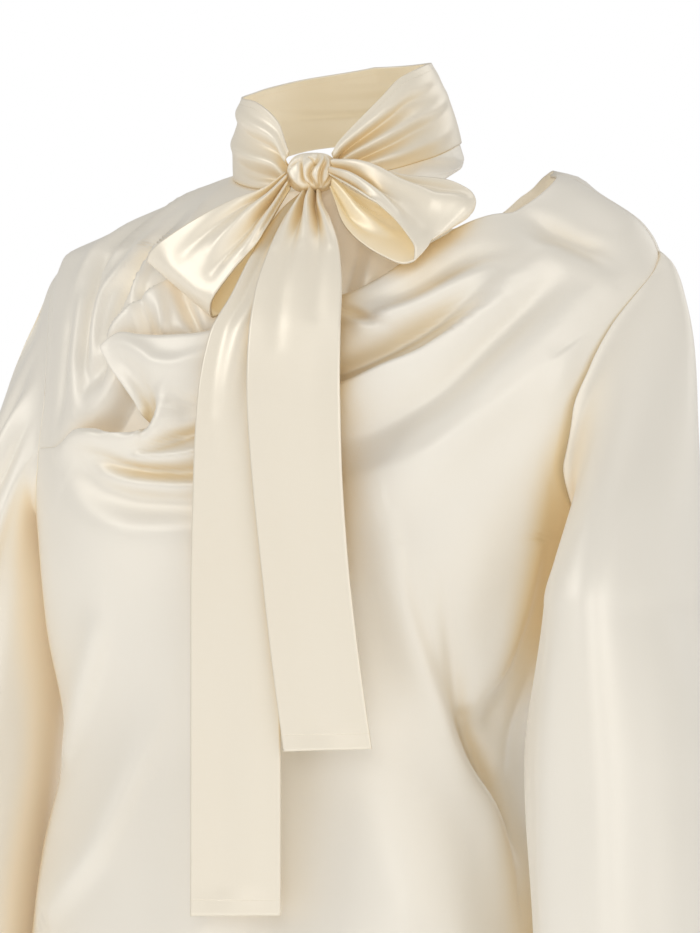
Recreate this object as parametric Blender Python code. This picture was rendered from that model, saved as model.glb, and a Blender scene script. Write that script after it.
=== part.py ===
"""Draped blouse with a scarf collar tied in a bow.

The garment hangs on a general upper body: +Z is up, the front faces -Y and the wearer's left is +X.
The origin is the middle of the neck opening, where the wearer's neck and shoulders hold the blouse up.
Each piece of cloth is a wall on a surface worked out from the tables below, all in centimetres.

Panels are cut on the unrolled body: s is the distance round it from the centre front or the centre
back, positive to the wearer's left, and z is the height. Rows of points run from the wearer's right
to the left, and the uppermost row comes first.
"""
import bpy
import numpy as np

# ---------------------------------------------------------------- driving dimensions
CM = 0.01                   # one centimetre in Blender's metres
WALL = 0.12                 # cloth wall: satin with its turnings
SEAM = 0.09                 # gap between two sewn pieces, along their surface
HEM_Z = -64.0               # height of the body hem
SLEEVE_HEM_Z = -63.0        # height of the sleeve ends
UNDERARM_Z = -24.0          # lowest point of the armholes
SHOULDER_TIP_Z = -5.6       # top of the armholes
NECK_SIDE_Z = 0.4           # shoulder seam at the neck, wearer's right
BARE_SIDE_Z = -0.9          # shoulder seam at the open neckline, wearer's left
RIBBON = 6.2                # width of the scarf where it hangs free
IVORY = (0.86, 0.81, 0.70)  # satin of the body and the sleeves
CREAM = (0.88, 0.80, 0.66)  # satin of the scarf
SATIN_ROUGHNESS = 0.35

# ---------------------------------------------------------------- the body
# Horizontal sections: half-widths on the wearer's right and left, depths in front of and
# behind the side line, and the power that squares the corners.
TORSO = (
    # z      right  left   front  back  power
    (-64.0,  24.4,  17.0,  12.6,  11.5, 2.3),
    (-50.0,  22.9,  15.4,  12.3,  10.5, 2.3),
    (-45.0,  22.1,  14.3,  11.8,  9.0,  2.3),
    (-38.0,  20.6,  12.9,  11.3,  7.5,  2.3),
    (-30.0,  21.8,  15.6,  12.3,  8.5,  2.35),
    (-25.0,  22.1,  17.4,  13.2,  9.4,  2.4),
    (-20.0,  22.3,  19.0,  13.5,  10.2, 2.4),
    (-15.0,  22.3,  20.6,  12.8,  10.3, 2.3),
    (-10.0,  22.4,  21.6,  11.3,  9.8,  2.1),
    (-7.5,   22.4,  21.9,  10.3,  9.2,  1.95),
    (-5.0,   21.8,  21.0,  9.0,   8.5,  1.75),
    (-3.6,   18.5,  19.4,  8.4,   8.1,  1.65),
    (-2.5,   15.5,  17.6,  7.9,   7.8,  1.65),
    (-1.5,   13.0,  15.4,  7.4,   7.6,  1.7),
    (-0.7,   10.7,  13.3,  7.0,   7.4,  1.75),
    (0.4,    8.0,   8.0,   6.4,   7.0,  2.0),
    (3.0,    7.2,   7.2,   5.4,   6.6,  2.0),
)
RING_STEP = 0.25            # height between two worked-out sections
RING_POINTS = 720           # points round a section

# How far forward of the side line the panels' side edges lie: the shoulder seam at the top,
# the armhole, and the side seam below it.
SIDE_EDGE = (
    # z      front  back
    (-64.0,  0.0,   0.0),
    (-28.0,  0.4,   0.4),
    (-24.0,  1.0,   1.0),
    (-23.2,  3.4,   -1.6),
    (-21.5,  5.8,   -4.5),
    (-19.0,  7.0,   -5.6),
    (-16.0,  7.0,   -5.8),
    (-13.0,  6.1,   -5.3),
    (-10.5,  4.8,   -4.3),
    (-8.3,   3.0,   -2.9),
    (-6.5,   1.0,   -1.0),
    (-5.6,   0.0,   0.0),
    (3.0,    0.0,   0.0),
)

# ---------------------------------------------------------------- outlines of the panels
COWL_EDGE = (
    # s      z
    (-14.2,  -11.5),
    (-12.9,  -10.8),
    (-10.4,  -11.1),
    (-6.2,   -11.2),
    (-1.0,   -10.2),
    (4.2,    -8.8),
    (7.2,    -7.1),
    (9.5,    -5.3),
    (11.5,   -4.0),
    (13.4,   -3.2),
    (16.9,   -0.9),
)
COWL_CORNER = (
    # s      z
    (-14.2,  -11.5),
    (-12.9,  -13.0),
    (-11.4,  -14.8),
    (-9.7,   -16.9),
)
SWAG_EDGE = (
    # s      z
    (-22.3,  -18.4),
    (-18.2,  -17.7),
    (-15.2,  -17.0),
    (-12.6,  -17.1),
    (-9.7,   -16.9),
)
COWL_FOOT = (
    # s      z
    (-9.7,   -16.9),
    (-2.0,   -18.0),
    (8.0,    -18.4),
    (18.9,   -17.4),
)
INNER_NECK = (
    # s      z
    (-11.2,  0.4),
    (-7.6,   -0.5),
    (-4.4,   -1.2),
    (0.0,    -1.5),
    (5.0,    -0.7),
    (8.0,    0.3),
    (12.4,   1.7),
)
INNER_FREE_EDGE = (
    # s      z
    (12.4,   1.7),
    (12.7,   1.1),
    (9.8,    -0.1),
    (8.3,    -1.6),
    (7.4,    -4.2),
    (7.2,    -8.0),
    (7.2,    -18.5),
)
INNER_FOOT = (
    # s      z
    (-22.0,  -17.6),
    (-17.0,  -19.6),
    (-9.0,   -20.6),
    (0.0,    -20.4),
    (7.2,    -18.5),
)
BACK_NECK = (
    # s      z
    (-11.5,  0.4),
    (-8.0,   0.1),
    (-4.0,   -2.0),
    (0.0,    -3.0),
    (6.0,    -3.6),
    (11.0,   -3.2),
    (16.9,   -0.9),
)

# ---------------------------------------------------------------- folds
# A fold runs through three places (s, z, height off the body) and has its own width
# on its upper or left-hand side and on its lower or right-hand side.
FRONT_FOLDS = (
    # start                middle                end                   above below
    ((-18.2, -17.9, 0.4),  (-13.5, -17.2, 1.0),  (-9.3, -17.2, 1.1),   0.9,  2.6),
    ((-9.3, -17.2, 0.9),   (-8.2, -16.4, 0.8),   (-8.2, -14.6, 0.2),   0.6,  1.8),
    ((4.8, -14.2, 0.7),    (10.4, -11.0, 0.8),   (15.4, -5.2, 0.3),    0.8,  2.4),
    ((5.0, -12.6, -0.6),   (9.6, -9.9, -0.7),    (14.2, -5.0, -0.2),   1.2,  1.2),
    ((5.2, -20.4, 0.3),    (12.0, -16.9, 0.5),   (18.0, -11.0, 0.2),   1.4,  2.6),
    ((-16.0, -19.6, -0.4), (-9.0, -20.7, -0.7),  (-3.0, -19.4, -0.2),  1.0,  1.4),
    ((8.0, -22.4, 0.1),    (8.6, -29.0, 0.5),    (11.2, -35.5, 0.7),   1.6,  1.6),
    ((10.0, -36.0, 0.5),   (12.6, -39.0, 0.9),   (15.6, -46.0, 0.3),   1.6,  1.8),
    ((11.8, -35.0, -0.5),  (13.6, -38.6, -0.9),  (15.6, -42.0, -0.3),  1.2,  1.2),
    ((-14.6, -28.8, 0.1),  (-16.6, -33.0, 0.5),  (-20.4, -38.2, 0.4),  1.5,  1.8),
    ((-8.8, -34.0, 0.1),   (-13.0, -41.5, 0.7),  (-21.5, -48.6, 0.6),  1.4,  2.2),
    ((1.0, -50.0, 0.1),    (2.0, -57.0, 0.6),    (2.6, -64.0, 0.8),    2.2,  2.2),
    ((12.0, -50.0, 0.1),   (12.6, -57.0, 0.6),   (13.0, -64.0, 0.9),   2.0,  2.0),
    ((-10.0, -52.0, 0.1),  (-11.0, -58.0, 0.6),  (-11.6, -64.0, 0.8),  2.0,  2.0),
)
INNER_FOLDS = (
    # start                middle                end                   above below
    ((-14.2, -11.6, 0.3),  (-12.6, -9.2, 0.6),   (-7.4, -5.6, 0.2),    0.9,  2.0),
    ((-9.6, -6.2, 0.1),    (-8.2, -9.0, -0.4),   (-6.0, -11.6, -0.5),  1.3,  1.3),
    ((-15.6, -2.0, -0.2),  (-15.6, -7.0, -0.5),  (-17.0, -12.5, -0.2), 1.0,  1.0),
    ((-11.6, -2.2, -0.2),  (-13.6, -6.0, -0.5),  (-15.6, -10.6, -0.2), 0.9,  0.9),
    ((5.0, -2.0, 0.2),     (5.2, -6.0, 0.4),     (5.0, -10.0, 0.3),    0.7,  0.7),
)
BACK_FOLDS = (
    # start                middle                end                   above below
    ((-12.0, -2.6, 0.3),   (-1.0, -7.4, 0.9),    (13.0, -4.6, 0.3),    1.4,  2.2),
    ((-15.0, -6.6, 0.1),   (0.0, -12.4, 0.7),    (16.0, -9.0, 0.2),    1.6,  2.6),
    ((-16.0, -16.0, 0.1),  (-13.0, -27.0, 0.6),  (-9.0, -37.0, 0.5),   2.0,  2.0),
    ((14.0, -18.0, 0.1),   (12.0, -28.0, 0.6),   (8.0, -38.0, 0.5),    2.0,  2.0),
    ((-4.0, -40.0, 0.1),   (-6.0, -52.0, 0.7),   (-8.0, -64.0, 0.9),   2.2,  2.2),
    ((5.0, -42.0, 0.1),    (6.0, -53.0, 0.7),    (6.6, -64.0, 0.9),    2.2,  2.2),
)
FOLD_STEPS = 14             # points along a fold's crest
FOLD_CALM = 2.5             # distance from a side seam over which folds die out
INNER_CALM = 1.0            # the same for the inner front

COWL_STAND = 1.4            # how far the cowl's edge stands off the body
COWL_FALL = 5.0             # depth below the edge over which that fades
COWL_LEFT = (18.6, 9.0)     # s where the cowl meets the left armhole, and the fade before it
COWL_RIGHT = (-22.6, 6.0)   # the same at the right armhole
SHELF_MIX = (-14.5, 5.0)    # s where the swag's edge gives way to the cowl's, and over how far
INNER_SINK = 1.5            # how far the inner front sinks behind the cowl
INNER_SINK_START = 1.6      # height above the cowl's edge where it starts to sink
INNER_SINK_REACH = 2.8      # height over which it sinks
INNER_FOLD_REACH = 3.0      # depth below the edge over which its folds die out
ROLL = 0.3                  # radius of a rolled free edge
ROLL_THIN = 0.15            # part of that radius left where the roll runs out at a seam
ROLL_GROWTH = (4.0, 6.0)    # distances from the two ends over which the roll grows
ROLL_ANGLES = (50.0, 100.0, 150.0)

# ---------------------------------------------------------------- grid of the panels
SHOULDER_ROWS = 4           # rows between the neck and the armhole
ARM_ROWS_ABOVE = 6          # rows down the armhole, above the cowl's foot
ARM_ROWS_BELOW = 3          # rows down the armhole, below the cowl's foot
SIDE_ROWS = 9               # rows from the underarm to the hem
COWL_COLUMNS = 18           # columns across the cowl
SWAG_COLUMNS = 6            # columns across the swag at the wearer's right
BACK_COLUMNS = 17
INNER_COLUMNS = 14
INNER_BUNCHING = 1.3        # power that draws the inner front's rows up to its top corner

# ---------------------------------------------------------------- sleeves
# Rings of a sleeve below the underarm: centre away from the body and forward,
# and half-widths across and front to back.
SLEEVE_RIGHT = (
    # z      away  forward  across  deep
    (-63.0,  31.0, 3.6,     5.8,    8.4),
    (-49.0,  29.2, 3.0,     5.4,    8.4),
    (-38.0,  27.8, 1.8,     5.0,    8.0),
    (-28.0,  26.6, 1.0,     3.9,    7.2),
)
SLEEVE_LEFT = (
    # z      away  forward  across  deep
    (-63.0,  23.4, 8.4,     6.0,    8.4),
    (-49.0,  22.4, 7.8,     6.0,    8.8),
    (-38.0,  21.7, 7.2,     6.0,    8.8),
    (-28.0,  21.4, 6.8,     4.4,    8.4),
)
# Lengthwise folds: angle round the sleeve from its outer side towards the front.
SLEEVE_FOLDS = (
    # angle  top    height width
    (10.0,   -12.0, 0.5,   16.0),
    (55.0,   -20.0, 0.7,   14.0),
    (95.0,   -26.0, 0.6,   14.0),
    (140.0,  -30.0, 0.5,   14.0),
    (205.0,  -30.0, 0.5,   14.0),
    (250.0,  -24.0, 0.7,   16.0),
    (305.0,  -18.0, 0.6,   14.0),
)
SLEEVE_FOLD_GROWTH = 14.0   # height over which a fold of the sleeve grows
CAP_ROWS = 7                # rows from the armhole to the first whole ring
SLEEVE_ROWS = 8             # rows from there to the sleeve's end
CAP_END_Z = -28.0           # height of the first whole ring
CAP_SWEEP = 0.55            # how strongly the cap leaves the armhole outwards
CAP_DROP = 0.9              # how strongly it arrives downwards
CROWN = 0.3                 # upper part of the armhole where the gap is wider
CROWN_GAP = 1.6             # how much wider it is at the top, in gaps
TURN_START = 0.45           # part of the way down the armhole where the cap turns sideways
TURN_DROP = -0.25           # slope of that sideways direction

# ---------------------------------------------------------------- scarf collar
# The band round the neck: angle from the front, positive to the wearer's left,
# and the heights of its two edges.
BAND = (
    # angle   lower upper
    (-180.0,  3.0,  7.5),
    (-140.0,  2.4,  6.8),
    (-110.0,  1.3,  6.0),
    (-90.0,   0.6,  5.4),
    (-66.0,   -0.2, 4.9),
    (-37.0,   -1.0, 4.4),
    (-24.0,   -1.3, 3.8),
    (-13.0,   -1.4, 2.8),
    (-4.0,    -1.5, 0.8),
    (20.0,    -1.2, 0.6),
    (25.0,    -0.9, 1.4),
    (36.0,    -0.5, 2.7),
    (51.0,    0.0,  4.3),
    (67.0,    0.6,  5.8),
    (101.0,   1.9,  7.0),
    (140.0,   2.7,  7.4),
    (180.0,   3.0,  7.5),
)
BAND_FOOT = (-0.45, -0.2, 7.55)     # centre x, y and radius of the lower edge
BAND_TOP = (0.0, -3.0, 6.2)         # the same for the upper edge
BAND_BULGE = 0.25           # how far the band rounds out between them
BAND_ENDS = (-5.4, -338.6)  # angles where the band meets the knot, going round the back
BAND_COLUMNS = 34
BAND_ROWS = 5
BAND_PLEAT = 0.22           # depth of the pleats gathered into the knot
BAND_PLEATS = 2.5           # number of pleats across the band
BAND_PLEAT_REACH = 75.0     # angle from the knot where they have died out
COLLAR_SEAM = (-90.0, 104.0)        # angles between which the inner front is sewn to the band
COLLAR_GAP = 1.5 * SEAM     # gap below the band
COLLAR_BLEND = 5.0          # depth over which the inner front meets the band's curve

# ---------------------------------------------------------------- bow
KNOT_CENTRE = (0.85, -8.7, -0.5)
KNOT_HALF = (1.6, 1.1, 1.25)
KNOT_SQUARE = 0.6           # power that squares the knot's profile
KNOT_SIDES = 14
KNOT_RINGS = 8
# Stations of a loop of the scarf, from the knot out and back to it.
LOOP_RIGHT = (
    # far edge             near edge
    # x      y      z      x      y      z
    (-0.75,  -9.3,  -0.4,  -0.5,  -9.5,  -1.3),
    (-2.0,   -10.2, -1.5,  -0.8,  -10.5, -2.9),
    (-3.6,   -11.0, -2.2,  -1.3,  -11.9, -4.8),
    (-5.9,   -11.4, -3.3,  -2.9,  -12.5, -6.8),
    (-8.4,   -11.2, -4.6,  -4.1,  -12.6, -8.3),
    (-9.9,   -10.7, -5.6,  -4.7,  -12.2, -9.3),
    (-10.2,  -10.3, -6.0,  -4.8,  -11.7, -9.8),
    (-9.7,   -10.0, -6.0,  -4.5,  -11.2, -9.6),
    (-8.0,   -9.8,  -5.1,  -3.5,  -10.9, -8.6),
    (-5.8,   -9.5,  -3.9,  -2.9,  -10.4, -7.1),
    (-3.3,   -9.3,  -2.7,  -2.4,  -10.0, -5.2),
    (-1.5,   -9.0,  -1.6,  -1.3,  -9.4,  -2.9),
    (-0.75,  -8.8,  -0.8,  -0.6,  -8.9,  -1.5),
)
LOOP_LEFT = (
    # far edge             near edge
    # x      y      z      x      y      z
    (2.45,   -9.0,  0.3,   2.4,   -9.6,  -0.7),
    (4.2,    -9.3,  0.1,   4.3,   -11.0, -1.5),
    (5.6,    -9.3,  -0.3,  6.2,   -11.9, -2.4),
    (7.6,    -9.0,  -0.9,  7.8,   -12.4, -3.5),
    (10.0,   -8.7,  -1.2,  9.1,   -12.6, -4.8),
    (11.7,   -8.6,  -1.9,  9.7,   -12.6, -5.9),
    (12.2,   -8.8,  -2.6,  9.6,   -12.5, -6.5),
    (12.0,   -8.8,  -3.3,  8.8,   -12.3, -6.7),
    (10.6,   -8.9,  -3.9,  7.3,   -12.0, -6.2),
    (8.2,    -8.9,  -3.6,  5.3,   -11.4, -5.1),
    (5.6,    -8.8,  -2.7,  3.9,   -10.7, -3.9),
    (3.6,    -8.7,  -1.7,  3.0,   -9.9,  -2.5),
    (2.45,   -8.7,  -0.9,  2.3,   -9.2,  -1.5),
)
LOOP_STEPS = 22
LOOP_ACROSS = 4
# Stations of a tail: how far forward it hangs, and x of its two edges.
TAIL_SHORT = (
    # z      forward  right  left
    (-1.75,  9.3,     0.45,  1.7),
    (-2.6,   10.3,    0.3,   2.3),
    (-3.8,   11.4,    0.0,   3.4),
    (-5.7,   12.8,    -0.3,  4.6),
    (-8.4,   14.2,    -0.6,  5.4),
    (-11.0,  15.1,    -0.6,  5.7),
    (-15.0,  15.6,    -0.5,  5.9),
    (-20.0,  15.7,    -0.1,  6.1),
    (-25.3,  15.7,    0.5,   6.5),
    (-31.0,  15.7,    1.2,   7.2),
    (-37.2,  15.7,    2.1,   8.1),
)
TAIL_LONG = (
    # z      forward  right  left
    (-1.75,  8.7,     0.1,   1.5),
    (-2.6,   9.6,     -0.6,  2.0),
    (-3.8,   10.6,    -1.2,  2.6),
    (-5.7,   12.0,    -1.8,  3.2),
    (-8.4,   13.4,    -2.6,  3.2),
    (-11.0,  14.4,    -3.7,  2.4),
    (-15.0,  14.9,    -4.3,  1.9),
    (-20.0,  15.1,    -4.5,  1.7),
    (-28.0,  15.1,    -4.7,  1.6),
    (-38.0,  15.1,    -4.7,  1.6),
    (-47.9,  15.1,    -4.7,  1.6),
)
TAIL_ACROSS = 6
TAIL_SHORT_STEPS = 16
TAIL_LONG_STEPS = 18
TAIL_MITRE = 0.35           # how far the left corner of a tail ends above the right one
TAIL_WAVE = 0.14            # depth of the gathers under the knot
TAIL_WAVES = 1.5            # number of gathers across a tail
TAIL_GATHERED = 0.25        # part of the ribbon's width up to which the gathers are whole
TAIL_SPREAD = 0.95          # part of the ribbon's width where they have died out


# ---------------------------------------------------------------- curves and tables
def smooth(table, at, column):
    """Value of a table's column at a place in its first column: monotone cubic steps."""
    rows = np.array(table, float)
    knots = rows[:, 0]
    values = rows[:, column]
    gap = np.diff(knots)
    rise = np.diff(values) / gap
    slope = np.zeros(len(knots))
    slope[0], slope[-1] = rise[0], rise[-1]
    before, after = rise[:-1], rise[1:]
    climbing = before * after > 0
    slope[1:-1][climbing] = (2 * before * after)[climbing] / (before + after)[climbing]
    at = np.clip(at, knots[0], knots[-1])
    i = np.clip(np.searchsorted(knots, at) - 1, 0, len(gap) - 1)
    u = (at - knots[i]) / gap[i]
    start = (1 + 2 * u) * (1 - u) ** 2 * values[i] + u * (1 - u) ** 2 * gap[i] * slope[i]
    end = u * u * (3 - 2 * u) * values[i + 1] - u * u * (1 - u) * gap[i] * slope[i + 1]
    return start + end


def fractions(count):
    """Fractions 0 to 1 in equal steps."""
    return np.linspace(0.0, 1.0, count + 1)


def lengths(points):
    """Distance along a row of points from its first point."""
    steps = np.linalg.norm(np.diff(points, axis=0), axis=1)
    return np.concatenate([[0.0], np.cumsum(steps)])


def unit(vectors):
    """Vectors of length 1 in the same directions."""
    return vectors / np.linalg.norm(vectors, axis=-1, keepdims=True)


def along(points, steps):
    """Points at the given fractions of the length of a smooth curve through a table's rows."""
    rows = np.array(points, float)
    reach = lengths(rows)
    table = np.column_stack([reach / reach[-1], rows])
    columns = [smooth(table, steps, column + 1) for column in range(rows.shape[1])]
    return np.stack(columns, axis=-1)


def ease(x):
    """0 below 0, 1 above 1, and a smooth step between."""
    x = np.clip(x, 0.0, 1.0)
    return x * x * (3 - 2 * x)


def spread(marks, counts):
    """Levels that run from mark to mark in the given numbers of equal steps."""
    stretches = zip(marks[:-1], marks[1:], counts)
    parts = [np.linspace(a, b, count, endpoint=False) for a, b, count in stretches]
    return np.concatenate(parts + [[marks[-1]]])


def patch(right, left, top, bottom):
    """Places that fill the space between four edges, each place a mix of the edges' places."""
    v = np.linspace(0, 1, len(right))[:, None, None]
    u = np.linspace(0, 1, len(top))[None, :, None]
    sides = (1 - u) * right[:, None] + u * left[:, None]
    ends = (1 - v) * top[None] + v * bottom[None]
    upper = (1 - u) * right[0] + u * left[0]
    lower = (1 - u) * right[-1] + u * left[-1]
    return sides + ends - (1 - v) * upper - v * lower


# ---------------------------------------------------------------- the body's surface
class Body:
    """The general form that the cloth lies on, reached by distance round it and by height."""

    def __init__(self):
        self.top = TORSO[-1][0]
        self.z = np.arange(self.top, TORSO[0][0] - 2 * RING_STEP, -RING_STEP)
        angle = np.radians(np.linspace(-180.0, 180.0, RING_POINTS + 1))
        right, left, front, back, power = (smooth(TORSO, self.z, c)[:, None] for c in range(1, 6))
        sine, cosine = np.sin(angle)[None], np.cos(angle)[None]
        width = np.where(sine > 0, left, right)
        depth = np.where(cosine > 0, front, back)
        self.x = width * np.sign(sine) * np.abs(sine) ** (2 / power)
        self.y = -depth * np.sign(cosine) * np.abs(cosine) ** (2 / power)
        self.middle = RING_POINTS // 2
        step = np.hypot(np.diff(self.x), np.diff(self.y))
        arc = np.concatenate([np.zeros((len(self.z), 1)), np.cumsum(step, axis=1)], axis=1)
        self.front_arc = arc - arc[:, self.middle:self.middle + 1]
        self.back_arc = np.where(angle[None] > 0, arc[:, -1:] - arc, -arc)

    def level(self, z):
        """The section above a height, and the part of the way from it to the next."""
        steps = np.clip((self.top - z) / RING_STEP, 0, len(self.z) - 1.001)
        return steps.astype(int), steps - steps.astype(int)

    def on_ring(self, s, row, back):
        """Points (x, y) of one section at distances s round it."""
        arc = (self.back_arc if back else self.front_arc)[row]
        order = np.argsort(arc, kind="stable")
        arc = arc[order]
        return np.stack([np.interp(s, arc, self.x[row][order]),
                         np.interp(s, arc, self.y[row][order])], axis=-1)

    def at(self, s, z, back=False):
        """Points of the body at distances s round it and heights z."""
        s, z = np.broadcast_arrays(np.asarray(s, float), np.asarray(z, float))
        row, part = self.level(z)
        points = np.zeros(s.shape + (3,))
        points[..., 2] = z
        for r in np.unique(row):
            here = row == r
            low = self.on_ring(s[here], r, back)
            high = self.on_ring(s[here], r + 1, back)
            points[here, :2] = low + (high - low) * part[here][:, None]
        return points

    def normal(self, s, z, back=False, reach=0.3):
        """Outward directions of the body."""
        round_it = self.at(s + reach, z, back) - self.at(s - reach, z, back)
        up = self.at(s, z + reach, back) - self.at(s, z - reach, back)
        return unit(np.cross(up, round_it) if back else np.cross(round_it, up))

    def side(self, z, left, back=False):
        """Distance round the body of a panel's side edge at each height."""
        edge = -smooth(SIDE_EDGE, z, 2 if back else 1)
        arcs = self.back_arc if back else self.front_arc
        half = slice(self.middle, None) if left else slice(0, self.middle + 1)
        found = []
        for height, edge_y in zip(z, edge):
            row, part = self.level(np.array(height))
            pair = []
            for r in (row, row + 1):
                y, arc = self.y[r][half], arcs[r][half]
                order = np.argsort(y, kind="stable")
                pair.append(np.interp(edge_y, y[order], arc[order]))
            found.append(pair[0] + (pair[1] - pair[0]) * part)
        return np.array(found)

    def side_path(self, levels, left, back=False):
        """Side edge of a panel at the given heights, drawn in by half a seam gap."""
        s = self.side(levels, left, back)
        return np.column_stack([s - np.sign(s) * SEAM / 2, levels])

    def dress(self, places, height, back=False, calm=FOLD_CALM):
        """Points of a panel: its places on the body, moved out by its height there."""
        s, z = places[..., 0], places[..., 1]
        rows = np.arange(np.min(z), np.max(z) + RING_STEP, RING_STEP)
        right = np.interp(z, rows, self.side(rows, False, back))
        left = np.interp(z, rows, self.side(rows, True, back))
        seamed = ease((left - s) / calm) * ease((s - right) / calm)
        lift = (height(s, z) * seamed)[..., None]
        return self.at(s, z, back) + self.normal(s, z, back) * lift


def fold_height(folds, s, z):
    """Height off the body at (s, z) that the folds of a table add up to."""
    total = np.zeros_like(s)
    t = np.linspace(0.0, 1.0, FOLD_STEPS)[:, None]
    for start, middle, end, above, below in folds:
        start, middle, end = np.array(start), np.array(middle), np.array(end)
        crest = start * (1 - t) * (1 - 2 * t) + middle * 4 * t * (1 - t) + end * t * (2 * t - 1)
        nearest = np.full(s.shape, np.inf)
        side = np.zeros(s.shape)
        height = np.zeros(s.shape)
        for a, b in zip(crest[:-1], crest[1:]):
            ds, dz = b[0] - a[0], b[1] - a[1]
            part = np.clip(((s - a[0]) * ds + (z - a[1]) * dz) / (ds * ds + dz * dz), 0.0, 1.0)
            off_s = s - a[0] - part * ds
            off_z = z - a[1] - part * dz
            far = np.hypot(off_s, off_z)
            nearer = far < nearest
            nearest = np.where(nearer, far, nearest)
            side = np.where(nearer, ds * off_z - dz * off_s, side)
            height = np.where(nearer, a[2] + (b[2] - a[2]) * part, height)
        width = np.where(side > 0, above, below)
        total += height * np.exp(-(nearest / width) ** 2)
    return total


def cowl_height(s, z):
    """How far the outer front stands off the body: the cowl's edge most."""
    drop = np.maximum(smooth(COWL_EDGE, s, 1) - z, 0.0)
    stand = COWL_STAND * np.exp(-(drop / COWL_FALL) ** 2)
    stand *= ease((COWL_LEFT[0] - s) / COWL_LEFT[1]) * ease((s - COWL_RIGHT[0]) / COWL_RIGHT[1])
    return stand + fold_height(FRONT_FOLDS, s, z)


def inner_height(s, z):
    """How far the inner front lies off the body: it sinks behind the cowl."""
    mix = ease((s - SHELF_MIX[0]) / SHELF_MIX[1])
    shelf = smooth(SWAG_EDGE, s, 1) * (1 - mix) + smooth(COWL_EDGE, s, 1) * mix
    sink = INNER_SINK * ease((shelf + INNER_SINK_START - z) / INNER_SINK_REACH)
    return fold_height(INNER_FOLDS, s, z) * (1 - ease((shelf - z) / INNER_FOLD_REACH)) - sink


def back_height(s, z):
    """How far the back stands off the body."""
    return fold_height(BACK_FOLDS, s, z)


# ---------------------------------------------------------------- meshes
def grid_faces(rows, columns, first=0, closed=False):
    """Faces of a grid of points; a closed grid's last column meets its first."""
    faces = []
    for r in range(rows - 1):
        for c in range(columns if closed else columns - 1):
            a = first + r * columns + c
            b = first + r * columns + (c + 1) % columns
            faces.append((a, a + columns, b + columns, b))
    return faces


def flipped(faces):
    """The same faces seen from their other side."""
    return [face[::-1] for face in faces]


def satin(name, colour):
    """Satin finish of one piece."""
    material = bpy.data.materials.new(name + "_satin")
    material.use_nodes = True
    shader = material.node_tree.nodes["Principled BSDF"]
    shader.inputs["Base Color"].default_value = (*colour, 1.0)
    shader.inputs["Roughness"].default_value = SATIN_ROUGHNESS
    shader.inputs["Metallic"].default_value = 0.0
    return material


def add_piece(name, points, faces, colour):
    """One object made of points in centimetres."""
    mesh = bpy.data.meshes.new(name)
    mesh.from_pydata((points.reshape(-1, 3) * CM).tolist(), [], faces)
    mesh.materials.append(satin(name, colour))
    piece = bpy.data.objects.new(name, mesh)
    bpy.context.collection.objects.link(piece)
    return piece


def add_cloth(name, points, faces, colour):
    """A wall of cloth round a surface, as one closed solid."""
    piece = add_piece(name, points, faces, colour)
    wall = piece.modifiers.new("wall", "SOLIDIFY")
    wall.thickness = WALL * CM
    wall.offset = 0.0


# ---------------------------------------------------------------- panels
def roll_edge(rim, inside, outward):
    """Rows that roll a free edge inwards; rim and inside are the panel's last two rows."""
    reach = lengths(rim)
    growth = ease(reach / ROLL_GROWTH[0]) * ease((reach[-1] - reach) / ROLL_GROWTH[1])
    radius = (ROLL * (ROLL_THIN + (1 - ROLL_THIN) * growth))[:, None]
    tangent = unit(np.gradient(rim, axis=0))
    out = rim - inside
    out = unit(out - np.sum(out * tangent, axis=1, keepdims=True) * tangent)
    normal = np.cross(out, tangent)
    normal *= np.sign(np.sum(normal * outward, axis=1, keepdims=True))
    turns = np.radians(ROLL_ANGLES)
    return [rim + radius * (np.sin(a) * out - (1 - np.cos(a)) * normal) for a in turns]


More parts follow.
